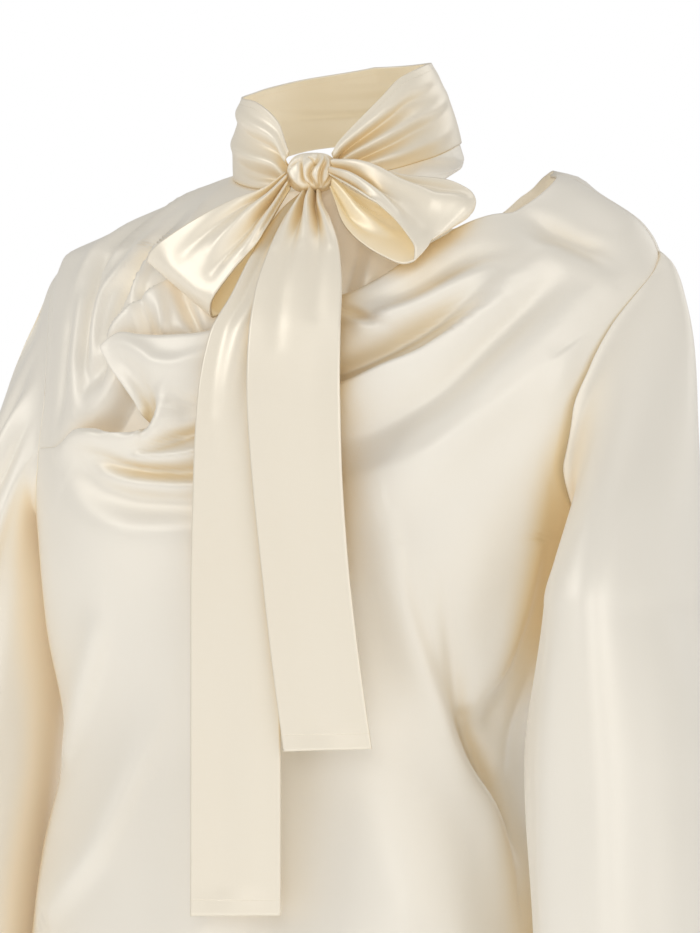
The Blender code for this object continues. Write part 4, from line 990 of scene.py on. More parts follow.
# %% Inner front
INNER_NECK = (
    (-11.2, 0.4), (-7.6, -0.5), (-4.4, -1.2), (0.0, -1.5), (5.0, -0.7), (8.0, 0.3), (12.4, 1.7),
)
INNER_FREE_EDGE = (
    (12.4, 1.7), (12.7, 1.1), (9.8, -0.1), (8.3, -1.6), (7.4, -4.2), (7.2, -8.0), (7.2, -18.5),
)
INNER_FOOT = ((-22.2, -18.6), (-17.0, -20.0), (-9.0, -20.6), (0.0, -20.4), (7.2, -18.5))
INNER_FOLDS = (
    # the crushed fold above the cowl's corner
    (((-13.4, -12.4, 0.2), (-13.2, -11.4, 0.6), (-12.7, -10.4, 0.9), (-11.7, -9.5, 1.0),
      (-10.6, -8.6, 0.95), (-9.3, -7.7, 0.6), (-8.1, -6.9, 0.1)), 0.28, 1.3),
    (((-11.4, -7.6, -0.1), (-10.6, -9.2, -0.45), (-10.2, -10.6, -0.5), (-10.2, -11.6, -0.3)), 0.5, 0.4),
    (((-9.4, -8.4, 0.1), (-9.0, -9.6, 0.4), (-8.8, -10.8, 0.4)), 0.35, 0.5),
    (((-8.4, -7.4, -0.1), (-7.9, -8.4, -0.45), (-7.4, -9.2, -0.65), (-6.6, -10.3, -0.7),
      (-6.0, -11.3, -0.6)), 0.5, 0.35),
    # folds that fall from the collar
    (((-10.6, -2.4, -0.1), (-11.1, -3.6, -0.4), (-11.4, -4.5, -0.65), (-11.8, -5.6, -0.8),
      (-12.2, -6.6, -0.8), (-13.0, -7.7, -0.75), (-13.4, -9.0, -0.6), (-13.9, -11.0, -0.2)), 0.35, 0.5),
    (((-10.0, -3.2, 0.1), (-10.6, -4.5, 0.45), (-11.3, -5.6, 0.6), (-11.7, -7.0, 0.6),
      (-12.2, -8.4, 0.2)), 0.5, 0.25),
    (((-12.0, -3.6, 0.1), (-12.7, -5.1, 0.45), (-13.5, -6.4, 0.6), (-14.8, -8.2, 0.5),
      (-15.0, -10.2, 0.35), (-14.9, -12.0, 0.1)), 0.3, 0.8),
    (((-15.4, -14.2, -0.2), (-14.3, -13.2, -0.45), (-13.3, -12.2, -0.3)), 0.7, 0.8),
    (((-17.4, -6.0, 0.1), (-17.2, -9.0, 0.35), (-16.9, -12.0, 0.35), (-16.2, -15.2, 0.15)), 0.6, 1.0),
    (((-16.4, -5.0, -0.1), (-16.3, -8.0, -0.4), (-16.1, -11.0, -0.4), (-15.4, -14.0, -0.1)), 0.5, 0.5),
    (((-18.6, -8.0, -0.05), (-18.4, -11.0, -0.25), (-18.2, -14.4, -0.25), (-18.4, -17.0, -0.05)), 0.6, 0.6),
    (((-8.4, -1.6, 0.1), (-8.8, -3.2, 0.35), (-9.8, -5.0, 0.1)), 0.5, 0.5),
    (((-11.6, -0.6, 0.15), (-12.6, -1.6, 0.4), (-13.8, -3.4, 0.45), (-15.4, -6.4, 0.2)), 0.4, 0.8),
    (((-13.0, -1.2, -0.15), (-14.2, -2.8, -0.4), (-15.8, -5.2, -0.3), (-16.8, -7.4, -0.1)), 0.5, 0.7),
    (((-14.6, -2.2, 0.1), (-16.4, -3.8, 0.35), (-18.0, -6.2, 0.3), (-18.8, -9.4, 0.1)), 0.6, 1.0),
    (((-3.0, -2.6, 0.1), (-3.6, -5.0, -0.2), (-3.9, -7.6, -0.4), (-4.4, -10.0, -0.4)), 1.2, 1.2),
    (((2.4, -2.6, 0.1), (2.6, -6.0, 0.35), (2.6, -10.0, 0.2)), 0.6, 0.9),
    (((5.2, -2.0, 0.2), (5.4, -6.0, 0.5), (5.2, -10.0, 0.4)), 0.6, 0.6),
    (((3.9, -2.2, -0.1), (4.1, -6.0, -0.4), (3.9, -10.0, -0.3)), 0.5, 0.5),
)
SHELF_MIX = (-14.5, 5.0)
INNER_SINK = 1.5
INNER_SINK_START = 1.6
INNER_SINK_REACH = 2.8
INNER_FOLD_REACH = 3.0
INNER_CALM = 1.0
INNER_SEWN = (-19.5, 5.0)   # where the inner front lies close under the outer one
INNER_TUCK = 0.09
INNER_COLUMNS = 150
INNER_ROWS = (22, 84)
INNER_BUNCHING = 1.3
COLLAR_SEAM = (-90.0, 104.0)
COLLAR_GAP = 0.02
COLLAR_BLEND = 5.0
BAND = (
    # angle   lower upper
    (-180.0,  3.0,  7.5),
    (-140.0,  2.4,  6.8),
    (-110.0,  1.3,  6.0),
    (-90.0,   0.6,  5.4),
    (-66.0,   -0.2, 4.9),
    (-37.0,   -1.0, 4.4),
    (-24.0,   -1.3, 3.8),
    (-13.0,   -1.4, 2.8),
    (-4.0,    -1.5, 0.8),
    (20.0,    -1.2, 0.6),
    (25.0,    -0.9, 1.4),
    (36.0,    -0.5, 2.7),
    (51.0,    0.0,  4.3),
    (67.0,    0.6,  5.8),
    (101.0,   1.9,  7.0),
    (140.0,   2.7,  7.4),
    (180.0,   3.0,  7.5),
)
BAND_FOOT = (-0.45, -0.2, 7.55)
BAND_TOP = (0.0, -3.0, 6.2)
BAND_BULGE = 0.25


def band_ring(angle, part):
    """Place on the band at an angle from the front and a part of the way up from its lower edge."""
    low, high = (smooth(BAND, wrapped(angle), column) for column in (1, 2))
    x, y, radius = (a + (b - a) * part for a, b in zip(BAND_FOOT, BAND_TOP))
    radius = radius + BAND_BULGE * 4 * part * (1 - part)
    turn = np.radians(angle)
    return np.stack([x + radius * np.sin(turn), y - radius * np.cos(turn), low + (high - low) * part],
                    axis=-1)


def inner_height(s, z):
    """How far the inner front lies off the body: it sinks behind the cowl."""
    mix = ease((s - SHELF_MIX[0]) / SHELF_MIX[1])
    shelf = smooth(SWAG_EDGE, s, 1) * (1 - mix) + smooth(COWL_EDGE, s, 1) * mix
    sink = INNER_SINK * ease((shelf + INNER_SINK_START - z) / INNER_SINK_REACH)
    sink = INNER_TUCK + (sink - INNER_TUCK) * ease((s - INNER_SEWN[0]) / INNER_SEWN[1])
    return fold_height(INNER_FOLDS, s, z) * (1 - ease((shelf - z) / INNER_FOLD_REACH)) - sink


def inner_points():
    """Points, faces, flat map and the armhole's two columns."""
    levels = spread((NECK_SIDE_Z, SHOULDER_TIP_Z, INNER_FOOT[0][1]), INNER_ROWS)
    steps = fractions(INNER_COLUMNS)
    right_side = body.side_path(levels, left=False)
    neck = along(INNER_NECK, steps)
    neck[0] = right_side[0]
    free = along(INNER_FREE_EDGE, fractions(len(levels) - 1) ** INNER_BUNCHING)
    free[0] = neck[-1]
    foot = along(INNER_FOOT, steps)
    foot[0], foot[-1] = right_side[-1], free[-1]
    flat = patch(right_side, free, neck, foot)
    points = dress(flat, inner_height, calm=INNER_CALM)
    angles = COLLAR_SEAM[0] + (COLLAR_SEAM[1] - COLLAR_SEAM[0]) * steps
    seam = band_ring(angles, np.zeros_like(angles)) - [0.0, 0.0, COLLAR_GAP]
    depth = np.linalg.norm(points - points[:1], axis=-1, keepdims=True)
    points = points + (seam - points[0]) * (1 - ease(depth / COLLAR_BLEND))
    arm = slice(INNER_ROWS[0], None)
    return points, flat, (points[arm, 0], points[arm, ARM_INSIDE])


inner, inner_flat, inner_arm = inner_points()
# The inner front gets a paler painted shade and a painted glow in its folds.
inner_front = add_cloth("inner_front", "front_inner", inner, grid_faces(inner), inner_flat,
                        no_hem(inner_flat), "body_satin", finish="pale_shade_fold_glow")

# %% [markdown]
# ## Back
#
# The back is one panel with a low, wide neckline, and a blouse like this keeps it plainer than the
# front. It is hemmed, hangs in two shallow swags below the neckline, and gathers to the narrow
# waist in four long soft folds.

# %% Back
BACK_NECK = (
    (-11.5, 0.4), (-8.0, 0.1), (-4.0, -2.0), (0.0, -3.0), (5.0, -3.2), (8.0, -2.4), (10.5, -1.3),
    (13.4, -0.8), (16.9, -0.9),
)
BACK_FOLDS = (
    (((-12.4, -2.6, 0.1), (-7.0, -5.6, 0.5), (-1.0, -7.4, 0.8), (6.0, -6.8, 0.6), (13.0, -4.6, 0.2)),
     0.7, 1.9),
    (((-15.4, -6.6, 0.1), (-8.0, -10.6, 0.5), (0.0, -12.4, 0.7), (9.0, -11.4, 0.5),
      (16.4, -9.0, 0.1)), 0.9, 2.4),
    (((-10.0, -11.8, -0.1), (-1.0, -14.4, -0.3), (9.0, -13.4, -0.1)), 1.2, 1.2),
    (((-16.0, -16.0, 0.1), (-14.6, -22.0, 0.35), (-13.0, -28.0, 0.6), (-9.4, -38.0, 0.5),
      (-8.4, -46.0, 0.1)), 1.1, 2.0),
    (((14.0, -18.0, 0.1), (12.8, -26.0, 0.5), (9.6, -36.0, 0.6), (7.0, -46.0, 0.15)), 2.0, 1.1),
    (((-3.0, -28.0, 0.05), (-3.6, -38.0, 0.35), (-6.0, -52.0, 0.6), (-8.0, -64.0, 0.9)), 1.6, 2.0),
    (((4.0, -30.0, 0.05), (4.4, -40.0, 0.35), (6.0, -53.0, 0.6), (6.6, -64.0, 0.9)), 2.0, 1.7),
    (((-15.6, -44.0, 0.1), (-16.6, -54.0, 0.4), (-17.4, -64.0, 0.7)), 1.8, 1.8),
    (((13.4, -46.0, 0.1), (14.2, -55.0, 0.4), (14.4, -64.0, 0.6)), 1.5, 1.5),
)
BACK_COLUMNS = 140
BACK_SHOULDER_ROWS = 16


def back_points():
    """Points, flat map and the armholes' two columns."""
    counts = (BACK_SHOULDER_ROWS, ARM_ROWS_ABOVE + ARM_ROWS_BELOW, SIDE_ROWS)
    marks = (SHOULDER_TIP_Z, UNDERARM_Z, HEM_Z)
    right_side = body.side_path(spread((NECK_SIDE_Z, *marks), counts), left=False, back=True)
    left_side = body.side_path(spread((BARE_SIDE_Z, *marks), counts), left=True, back=True)
    neck = along(BACK_NECK, fractions(BACK_COLUMNS))
    neck[0], neck[-1] = right_side[0], left_side[0]
    flat = patch(right_side, left_side, neck, hem_between(right_side, left_side, len(neck)))
    points = dress(flat, lambda s, z: fold_height(BACK_FOLDS, s, z), back=True)
    arm = slice(BACK_SHOULDER_ROWS, BACK_SHOULDER_ROWS + ARM_ROWS_ABOVE + ARM_ROWS_BELOW + 1)
    arms = {"right": (points[arm, 0], points[arm, ARM_INSIDE]),
            "left": (points[arm, -1], points[arm, -1 - ARM_INSIDE])}
    return points, flat, arms


points, flat, back_arms = back_points()
# The back's inner side has a painted glow all over.
back = add_cloth("back_panel", "back", points, grid_faces(points, flip=True), flat,
                 hem_below(flat, HEM_Z), "body_satin", inside="body_inside")

# %% [markdown]
# ## Sleeves
#
# Each sleeve is cut wide and set into its armhole with hardly any gathers. It leaves the seam
# sideways, turns over the shoulder and then hangs straight, so it is built as a loft: smooth
# curves from every point of the armhole down to the first whole ring, then ring by ring to the
# hem. Long soft folds run down it at uneven distances.

# %% Sleeves
SLEEVE_HEM_Z = -63.0
SLEEVE_RIGHT = (
    # z      away  forward  across  deep
    (-63.0,  30.3, 3.6,     5.8,    8.4),
    (-49.0,  28.2, 3.0,     5.4,    8.4),
    (-38.0,  26.6, 1.8,     4.9,    8.0),
    (-28.0,  25.1, 1.0,     3.8,    7.2),
)
SLEEVE_LEFT = (
    # z      away  forward  across  deep
    (-63.0,  23.4, 8.4,     6.0,    8.4),
    (-49.0,  22.4, 7.8,     6.0,    8.8),
    (-38.0,  21.7, 7.2,     6.0,    8.8),
    (-28.0,  21.4, 6.8,     4.4,    8.4),
)
SLEEVE_GIRTH = 42.0         # distance round a sleeve that 360 degrees stand for in the folds
PER_DEGREE = SLEEVE_GIRTH / 360.0
SLEEVE_FOLDS_BEHIND = (
    # places: degrees from the outer side towards the front, z, height; widths in front and behind
    (((205.0, -30.0, 0.05), (205.0, -48.0, 0.4), (205.0, -63.0, 0.5)), 1.7, 1.7),
    (((250.0, -18.0, 0.05), (252.0, -36.0, 0.5), (250.0, -63.0, 0.7)), 1.9, 1.9),
    (((305.0, -14.0, 0.05), (304.0, -34.0, 0.4), (306.0, -63.0, 0.6)), 1.7, 1.7),
)
SLEEVE_FOLDS_RIGHT = (
    (((22.0, -6.4, 1.3), (22.0, -8.5, 1.0), (22.0, -12.0, 0.4), (20.0, -17.0, 0.1)), 2.6, 3.0),
    (((8.0, -12.0, 0.1), (12.0, -30.0, 0.35), (12.0, -63.0, 0.5)), 1.6, 2.2),
    (((62.0, -8.5, 0.1), (54.0, -14.0, 0.45), (46.0, -24.0, 0.65), (40.0, -40.0, 0.6),
      (36.0, -63.0, 0.6)), 0.9, 1.2),
    (((78.0, -10.0, -0.05), (72.0, -16.0, -0.35), (64.0, -26.0, -0.5), (58.0, -42.0, -0.35),
      (56.0, -60.0, -0.1)), 0.7, 0.9),
    (((96.0, -10.0, 0.1), (92.0, -16.0, 0.4), (84.0, -26.0, 0.65), (76.0, -44.0, 0.6),
      (74.0, -63.0, 0.6)), 0.8, 1.3),
    (((112.0, -18.0, -0.05), (108.0, -28.0, -0.3), (102.0, -42.0, -0.4), (98.0, -58.0, -0.1)), 0.8, 0.9),
    (((124.0, -22.0, 0.05), (120.0, -32.0, 0.4), (116.0, -46.0, 0.5), (114.0, -63.0, 0.5)), 1.0, 1.4),
    (((140.0, -30.0, 0.05), (142.0, -45.0, 0.45), (142.0, -63.0, 0.5)), 1.5, 1.8),
) + SLEEVE_FOLDS_BEHIND
SLEEVE_FOLDS_LEFT = (
    (((4.0, -12.0, 0.05), (6.0, -30.0, 0.25), (10.0, -63.0, 0.5)), 1.8, 2.4),
    (((46.0, -18.0, 0.05), (50.0, -32.0, 0.3), (54.0, -63.0, 0.55)), 2.0, 2.6),
    (((100.0, -22.0, 0.05), (98.0, -36.0, 0.35), (94.0, -63.0, 0.6)), 1.8, 2.0),
    (((136.0, -26.0, 0.05), (138.0, -40.0, 0.4), (140.0, -63.0, 0.5)), 1.4, 1.8),
) + SLEEVE_FOLDS_BEHIND
CAP_ROWS = 46
SLEEVE_ROWS = 66
CAP_END_Z = -28.0
CAP_BUNCHING = 1.15         # above 1, rows lie closer beside the seam
CAP_SWEEP = 0.5             # how long the sleeve keeps the direction in which it leaves the seam
CAP_TILT = 0.3              # how much the cap's top slopes down from its seam
CAP_TILT_DEPTH = 0.5        # part of the armhole's depth over which that fades
CAP_CALM_PASSES = 160       # evens out the directions round the armhole
CAP_ROUNDING = 90           # rounds the armhole's pointed top away down the cap
CAP_ROUNDED = 0.25          # part of the cap over which that rounding comes in
CAP_DROP = 0.9              # how long the sleeve comes down straight before its first whole ring
CROWN = 0.3
CROWN_GAP = 0.3
TURN_START = 0.45
TURN_DROP = -0.25
SLEEVE_CALM = 5.0           # distance from the seam over which the folds grow
SLEEVE_RIPPLE_STRETCH = 1.2
SLEEVE_RISE = 0.04          # how far the sleeve swells up again from its seam
SLEEVE_RISE_REACH = 0.4


def sleeve_ring(table, side, angle, z):
    """Points of a whole ring: angle 0 is away from the body and 90 is the front."""
    away, forward, across, deep = (smooth(table, z, column) for column in range(1, 5))
    turn = np.radians(angle)
    return np.stack([side * (away + across * np.cos(turn)),
                     -forward - deep * np.sin(turn),
                     np.full(len(angle), z)], axis=-1)


def armhole(front_arm, back_arm):
    """Loops down an armhole's front and up behind: its edge, and a line a little inside it."""
    loops = []
    for front_column, back_column in zip(front_arm, back_arm):
        loop = np.concatenate([front_column, back_column[-2:0:-1]])
        loop[0] = (front_column[0] + back_column[0]) / 2
        loop[len(front_column) - 1] = (front_column[-1] + back_column[-1]) / 2
        loops.append(loop)
    return loops


def softened(loop, passes):
    """A closed loop whose points are drawn towards their neighbours again and again."""
    for _ in range(passes):
        loop = (np.roll(loop, 1, axis=0) + loop * 2 + np.roll(loop, -1, axis=0)) / 4
    return loop


def sleeve_start(side, loop, inside, lowest):
    """The armhole moved out by the seam's gap, and the directions in which the sleeve leaves it."""
    depth = (loop[0, 2] - loop[:, 2:]) / (loop[0, 2] - loop[lowest, 2])
    turn = ease((depth - TURN_START) / (1 - TURN_START))
    away = unit(unit(loop - inside) * (1 - turn) + np.array([side, 0.0, TURN_DROP]) * turn)
    for _ in range(CAP_CALM_PASSES):
        away = unit(softened(away, 1))
    away = unit(away - [0.0, 0.0, CAP_TILT] * ease(1 - depth / CAP_TILT_DEPTH))
    gap = SEAM * (1 + CROWN_GAP * ease(1 - depth / CROWN)) + turn * BODY_WALL / 2
    return loop + away * gap, away


def cap_rows(loop, away, first):
    """Rows from the armhole down to the first whole ring, every point on a smooth curve."""
    span = np.linalg.norm(first - loop, axis=1, keepdims=True)
    down = np.array([0.0, 0.0, -1.0])
    rows = []
    for t in fractions(CAP_ROWS) ** CAP_BUNCHING:
        leaving = (2 * t ** 3 - 3 * t ** 2 + 1) * loop + (t ** 3 - 2 * t ** 2 + t) * away * span * CAP_SWEEP
        arriving = (3 * t ** 2 - 2 * t ** 3) * first + (t ** 3 - t ** 2) * down * span * CAP_DROP
        apart = leaving + arriving - first
        rows.append(softened(apart, int(CAP_ROUNDING * ease(t / CAP_ROUNDED))) + first)
    return rows


def sleeve_height(rows, around, folds):
    """How far out the folds, the ripples and the swell beside the seam move a sleeve's points."""
    scaled = [([(a * PER_DEGREE, z, h) for a, z, h in places], behind_it, before_it)
              for places, before_it, behind_it in folds]
    height = sum(fold_height(scaled, around + turn * SLEEVE_GIRTH, rows[..., 2]) for turn in (-1, 0, 1))
    ripple = ripple_height(rows[..., 0] * SLEEVE_RIPPLE_STRETCH - rows[..., 1], rows[..., 2])
    from_seam = np.linalg.norm(rows - rows[:1], axis=-1)
    calm = ease(from_seam / SLEEVE_CALM)
    rise = SLEEVE_RISE * (1 - np.exp(-(from_seam / SLEEVE_RISE_REACH) ** 2))
    return height * calm + ripple * calm + rise


def sleeve(side, table, folds, front_arm, back_arm):
    """A sleeve hung from an armhole: rows of points down from it, each going round front first."""
    lowest = len(front_arm[0]) - 1
    loop, away = sleeve_start(side, *armhole(front_arm, back_arm), lowest)
    reach = lengths(np.vstack([loop, loop[:1]]))
    in_front = np.arange(len(loop)) <= lowest
    behind = (reach[:-1] - reach[lowest]) / (reach[-1] - reach[lowest])
    angle = np.where(in_front, 180.0 * reach[:-1] / reach[lowest], 180.0 + 180.0 * behind)
    rings = [sleeve_ring(table, side, angle, z)
             for z in np.linspace(CAP_END_Z, SLEEVE_HEM_Z, SLEEVE_ROWS + 1)]
    rows = np.array(cap_rows(loop, away, rings[0]) + rings[1:])
    around_it = np.roll(rows, -1, axis=1) - np.roll(rows, 1, axis=1)
    out = unit(np.cross(around_it, np.gradient(rows, axis=0))) * -side
    around = np.broadcast_to(angle * PER_DEGREE, rows.shape[:2])
    points = rows + out * sleeve_height(rows, around, folds)[..., None]
    return points, np.stack([around, rows[..., 2]], axis=-1)


def add_sleeve(name, node, side, *shape):
    """One sleeve with its hem."""
    points, flat = sleeve(side, *shape)
    faces = grid_faces(points, flip=side > 0, closed=True)
    # A sleeve gets a paler painted shade and a painted glow in its folds.
    return add_cloth(name, node, points, faces, flat, hem_below(flat, SLEEVE_HEM_Z), "body_satin",
                     finish="pale_shade_fold_glow")


right_front_arm = [np.concatenate(pair) for pair in zip(inner_arm, front_arms["right"])]
right_sleeve = add_sleeve("right_sleeve", "sleeve_right", -1, SLEEVE_RIGHT, SLEEVE_FOLDS_RIGHT,
                          right_front_arm, back_arms["right"])
left_sleeve = add_sleeve("left_sleeve", "sleeve_left", 1, SLEEVE_LEFT, SLEEVE_FOLDS_LEFT,
                         front_arms["left"], back_arms["left"])

# %% [markdown]
# ## Scarf collar
#
# The collar is the middle of a long double scarf. It stands round the neck and drops towards the
# knot, where it is squeezed to a fraction of its width, so soft pleats run out from the knot and
# die away round the neck. The folds are placed by the distance from the knot along the band and
# by the distance up from its lower edge.

# %% Scarf collar
BAND_ENDS = (-5.4, -338.6)
BAND_COLUMNS = 260
BAND_ROWS = 48
BAND_WIDTH = 6.0            # width that the folds' second number is measured in
BAND_ROUND = 44.0           # distance round it
BAND_CRISP = 1.3            # how much deeper the folds are than their table says
BAND_HEM_OFF = 0.55         # distance of the hem map's zero above the upper edge
BAND_FOLDS = (
    # (distance from the right end, distance up from the lower edge, height)
    (((0.2, 4.6, 0.25), (3.0, 4.5, 0.3), (6.0, 4.9, 0.2), (9.0, 5.2, 0.05)), 0.4, 0.7),
    (((0.2, 3.4, -0.25), (3.0, 3.4, -0.25), (6.5, 3.9, -0.15), (10.0, 4.4, -0.02)), 0.5, 0.5),
    (((0.2, 2.2, 0.25), (3.0, 2.2, 0.3), (6.0, 2.5, 0.2), (9.5, 3.0, 0.05)), 0.4, 0.6),
    (((0.2, 1.0, -0.2), (3.5, 1.1, -0.2), (7.0, 1.5, -0.08)), 0.5, 0.5),
    (((0.2, 0.3, 0.15), (3.0, 0.3, 0.15), (6.0, 0.5, 0.05)), 0.4, 0.4),
    (((43.8, 5.2, 0.2), (41.0, 5.1, 0.3), (38.0, 5.1, 0.2), (34.0, 5.4, 0.05)), 0.6, 0.45),
    (((43.8, 4.2, -0.25), (41.0, 4.1, -0.3), (37.5, 4.1, -0.2), (33.0, 4.5, -0.02)), 0.5, 0.45),
    (((43.8, 3.2, 0.25), (41.0, 3.1, 0.35), (37.0, 3.2, 0.25), (32.5, 3.8, 0.05)), 0.6, 0.4),
    (((43.8, 2.2, -0.25), (41.0, 2.1, -0.3), (37.0, 2.2, -0.2), (33.0, 2.8, -0.02)), 0.4, 0.5),
    (((43.8, 1.2, 0.2), (41.0, 1.1, 0.25), (37.0, 1.2, 0.15), (34.0, 1.6, 0.02)), 0.5, 0.4),
    (((12.0, 4.9, 0.02), (15.0, 4.0, 0.12), (19.5, 3.2, 0.13), (24.0, 2.9, 0.02)), 0.35, 0.6),
    (((14.0, 3.2, -0.02), (18.0, 2.5, -0.10), (22.0, 2.3, -0.08), (25.0, 2.5, -0.01)), 0.3, 0.5),
    (((17.0, 5.5, 0.02), (20.5, 4.6, 0.12), (25.0, 4.3, 0.12), (29.0, 4.6, 0.02)), 0.35, 0.7),
    (((19.0, 1.2, 0.02), (23.0, 1.5, 0.10), (27.0, 1.3, 0.09), (30.0, 0.9, 0.01)), 0.3, 0.5),
    (((22.0, 3.8, -0.02), (26.0, 3.4, -0.10), (30.5, 3.6, -0.02)), 0.35, 0.5),
    (((25.0, 5.3, 0.02), (28.0, 4.9, 0.10), (32.0, 5.2, 0.02)), 0.3, 0.5),
    (((10.0, 2.0, 0.02), (13.0, 1.5, 0.10), (17.0, 1.3, 0.02)), 0.4, 0.6),
)


def band_points():
    """Rows of the collar, from its upper edge down."""
    start, end = BAND_ENDS
    across = fractions(BAND_ROWS)[::-1, None]
    round_it = fractions(BAND_COLUMNS)[None, :]
    angle, part = np.broadcast_arrays(start + (end - start) * round_it, across)
    far = np.broadcast_to(round_it * BAND_ROUND, part.shape)
    height = BAND_CRISP * fold_height(BAND_FOLDS, far, part * BAND_WIDTH)
    turn = np.radians(angle)
    out = np.stack([np.sin(turn), -np.cos(turn), np.zeros_like(turn)], axis=-1)
    points = band_ring(angle, part) + out * height[..., None]
    return points, np.stack([far, part * BAND_WIDTH], axis=-1)


points, flat = band_points()
hem = np.stack([flat[..., 0], BAND_WIDTH - flat[..., 1] + BAND_HEM_OFF], axis=-1)
# The band's inner side has a painted shade colour and a painted glow.
scarf_band = add_cloth("scarf_band", "collar_band", points, grid_faces(points, flip=True), flat,
                       hem, "scarf_satin", inside="scarf_inside")

# %% [markdown]
# ## Bow
#
# The scarf crosses in front, one end makes the two loops and the other is wrapped round them as
# the knot. A loop is the same ribbon bent over on itself, so it is ruled between its two edges,
# which are given at stations from the knot out to the tip and back. Pleats run out of the knot
# into both plies.

# %% Bow loops
LOOP_RIGHT = (
    # far edge             near edge
    # x      y      z      x      y      z
    (-0.75,  -9.3,  -0.4,  -0.5,  -9.5,  -1.3),
    (-2.0,   -10.2, -1.5,  -0.8,  -10.5, -2.9),
    (-3.6,   -11.0, -2.2,  -1.3,  -11.9, -4.8),
    (-5.9,   -11.4, -3.3,  -2.9,  -12.5, -6.8),
    (-8.4,   -11.2, -4.6,  -4.1,  -12.6, -8.3),
    (-9.9,   -10.7, -5.6,  -4.7,  -12.2, -9.3),
    (-10.2,  -10.3, -6.0,  -4.8,  -11.7, -9.8),
    (-9.7,   -10.0, -6.0,  -4.5,  -11.2, -9.6),
    (-8.0,   -9.8,  -5.1,  -3.5,  -10.9, -8.6),
    (-5.8,   -9.5,  -3.9,  -2.9,  -10.4, -7.1),
    (-3.3,   -9.3,  -2.7,  -2.4,  -10.0, -5.2),
    (-1.5,   -9.0,  -1.6,  -1.3,  -9.4,  -2.9),
    (-0.75,  -8.8,  -0.8,  -0.6,  -8.9,  -1.5),
)
LOOP_LEFT = (
    # far edge             near edge
    # x      y      z      x      y      z
    (2.45,   -9.0,  0.3,   2.4,   -9.6,  -0.7),
    (4.2,    -9.3,  0.1,   4.3,   -11.0, -1.5),
    (5.6,    -9.3,  -0.3,  6.2,   -11.9, -2.4),
    (7.6,    -9.0,  -0.9,  7.8,   -12.4, -3.5),
    (10.0,   -8.7,  -1.2,  9.1,   -12.6, -4.8),
    (11.7,   -8.6,  -1.9,  9.7,   -12.6, -5.9),
    (12.2,   -8.8,  -2.6,  9.6,   -12.5, -6.5),
    (12.0,   -8.8,  -3.3,  8.8,   -12.3, -6.7),
    (10.6,   -8.9,  -3.9,  7.3,   -12.0, -6.2),
    (8.2,    -8.9,  -3.6,  5.3,   -11.4, -5.1),
    (5.6,    -8.8,  -2.7,  3.9,   -10.7, -3.9),
    (3.6,    -8.7,  -1.7,  3.0,   -9.9,  -2.5),
    (2.45,   -8.7,  -0.9,  2.3,   -9.2,  -1.5),
)
LOOP_STEPS = 200
LOOP_ACROSS = 48
LOOP_FOLDS_RIGHT = (
    # (distance along the ribbon, distance from its far edge, height); widths to either side
    (((0.3, 1.0, 0.2), (2.5, 1.1, 0.35), (5.5, 1.4, 0.3), (8.5, 1.9, 0.1)), 0.6, 0.6),
    (((0.3, 2.4, -0.25), (2.5, 2.5, -0.4), (4.8, 2.8, -0.3), (7.0, 3.2, -0.05)), 0.5, 0.5),
    (((0.3, 3.6, 0.25), (2.5, 3.7, 0.4), (5.0, 4.1, 0.4), (8.0, 4.6, 0.15)), 0.6, 0.6),
    (((0.3, 4.9, -0.2), (2.5, 5.0, -0.35), (5.0, 5.4, -0.15)), 0.4, 0.5),
    (((9.4, 0.4, -0.05), (9.8, 2.4, -0.22), (9.8, 4.4, -0.2), (9.4, 5.8, -0.05)), 0.6, 0.6),
    (((20.5, 1.6, 0.2), (17.0, 1.7, 0.3), (13.5, 1.8, 0.1)), 0.5, 0.6),
    (((20.5, 3.8, -0.2), (17.0, 3.8, -0.4), (13.5, 3.6, -0.1)), 0.7, 0.7),
)
LOOP_FOLDS_LEFT = (
    # the crest that runs from the knot across the front ply, and the troughs beside it
    (((0.4, 1.0, 0.2), (2.0, 1.1, 0.4), (3.5, 1.2, 0.55), (5.6, 1.9, 0.6), (6.8, 2.1, 0.6),
      (8.0, 2.2, 0.55), (9.2, 1.4, 0.45), (10.2, 0.7, 0.2)), 0.8, 0.5),
    (((4.0, 0.2, -0.1), (6.0, 0.7, -0.25), (8.0, 0.8, -0.25), (9.2, 0.4, -0.1)), 0.4, 0.4),
    (((0.4, 2.4, -0.2), (1.6, 2.5, -0.45), (3.0, 2.9, -0.5), (4.6, 3.5, -0.3),
      (6.4, 4.0, -0.05)), 0.6, 0.5),
    (((0.4, 3.9, 0.2), (2.0, 4.0, 0.35), (4.0, 4.6, 0.3), (6.5, 5.2, 0.15)), 0.5, 0.5),
    (((0.4, 5.2, -0.2), (2.0, 5.2, -0.3), (4.0, 5.6, -0.15)), 0.4, 0.4),
    (((6.4, 4.4, -0.05), (8.2, 4.2, -0.25), (10.0, 3.8, -0.2), (11.6, 3.4, -0.05)), 0.9, 0.9),
    # the inside of the back ply
    (((21.4, 2.6, -0.2), (19.0, 2.8, -0.45), (16.4, 3.2, -0.5), (14.2, 3.4, -0.2)), 0.6, 0.7),
    (((21.4, 4.4, 0.2), (18.5, 4.5, 0.3), (15.0, 4.6, 0.1)), 0.5, 0.5),
    (((21.4, 1.2, 0.2), (18.5, 1.3, 0.3), (15.0, 1.4, 0.1)), 0.5, 0.5),
)


def ribbon(stations, folds, steps, across):
    """Rows along a ribbon between two edges, moved out by folds; and its flat map."""
    path = along(stations, fractions(steps))
    part = fractions(across)[None, :, None]
    points = path[:, None, :3] * (1 - part) + path[:, None, 3:] * part
    middle = lengths(points[:, across // 2])
    far = np.broadcast_to(middle[:, None], points.shape[:2])
    off = np.broadcast_to(fractions(across)[None] * BAND_WIDTH, points.shape[:2])
    normal = unit(np.cross(np.gradient(points, axis=1), np.gradient(points, axis=0)))
    points = points + normal * fold_height(folds, far, off)[..., None]
    return points, np.stack([far, off], axis=-1)


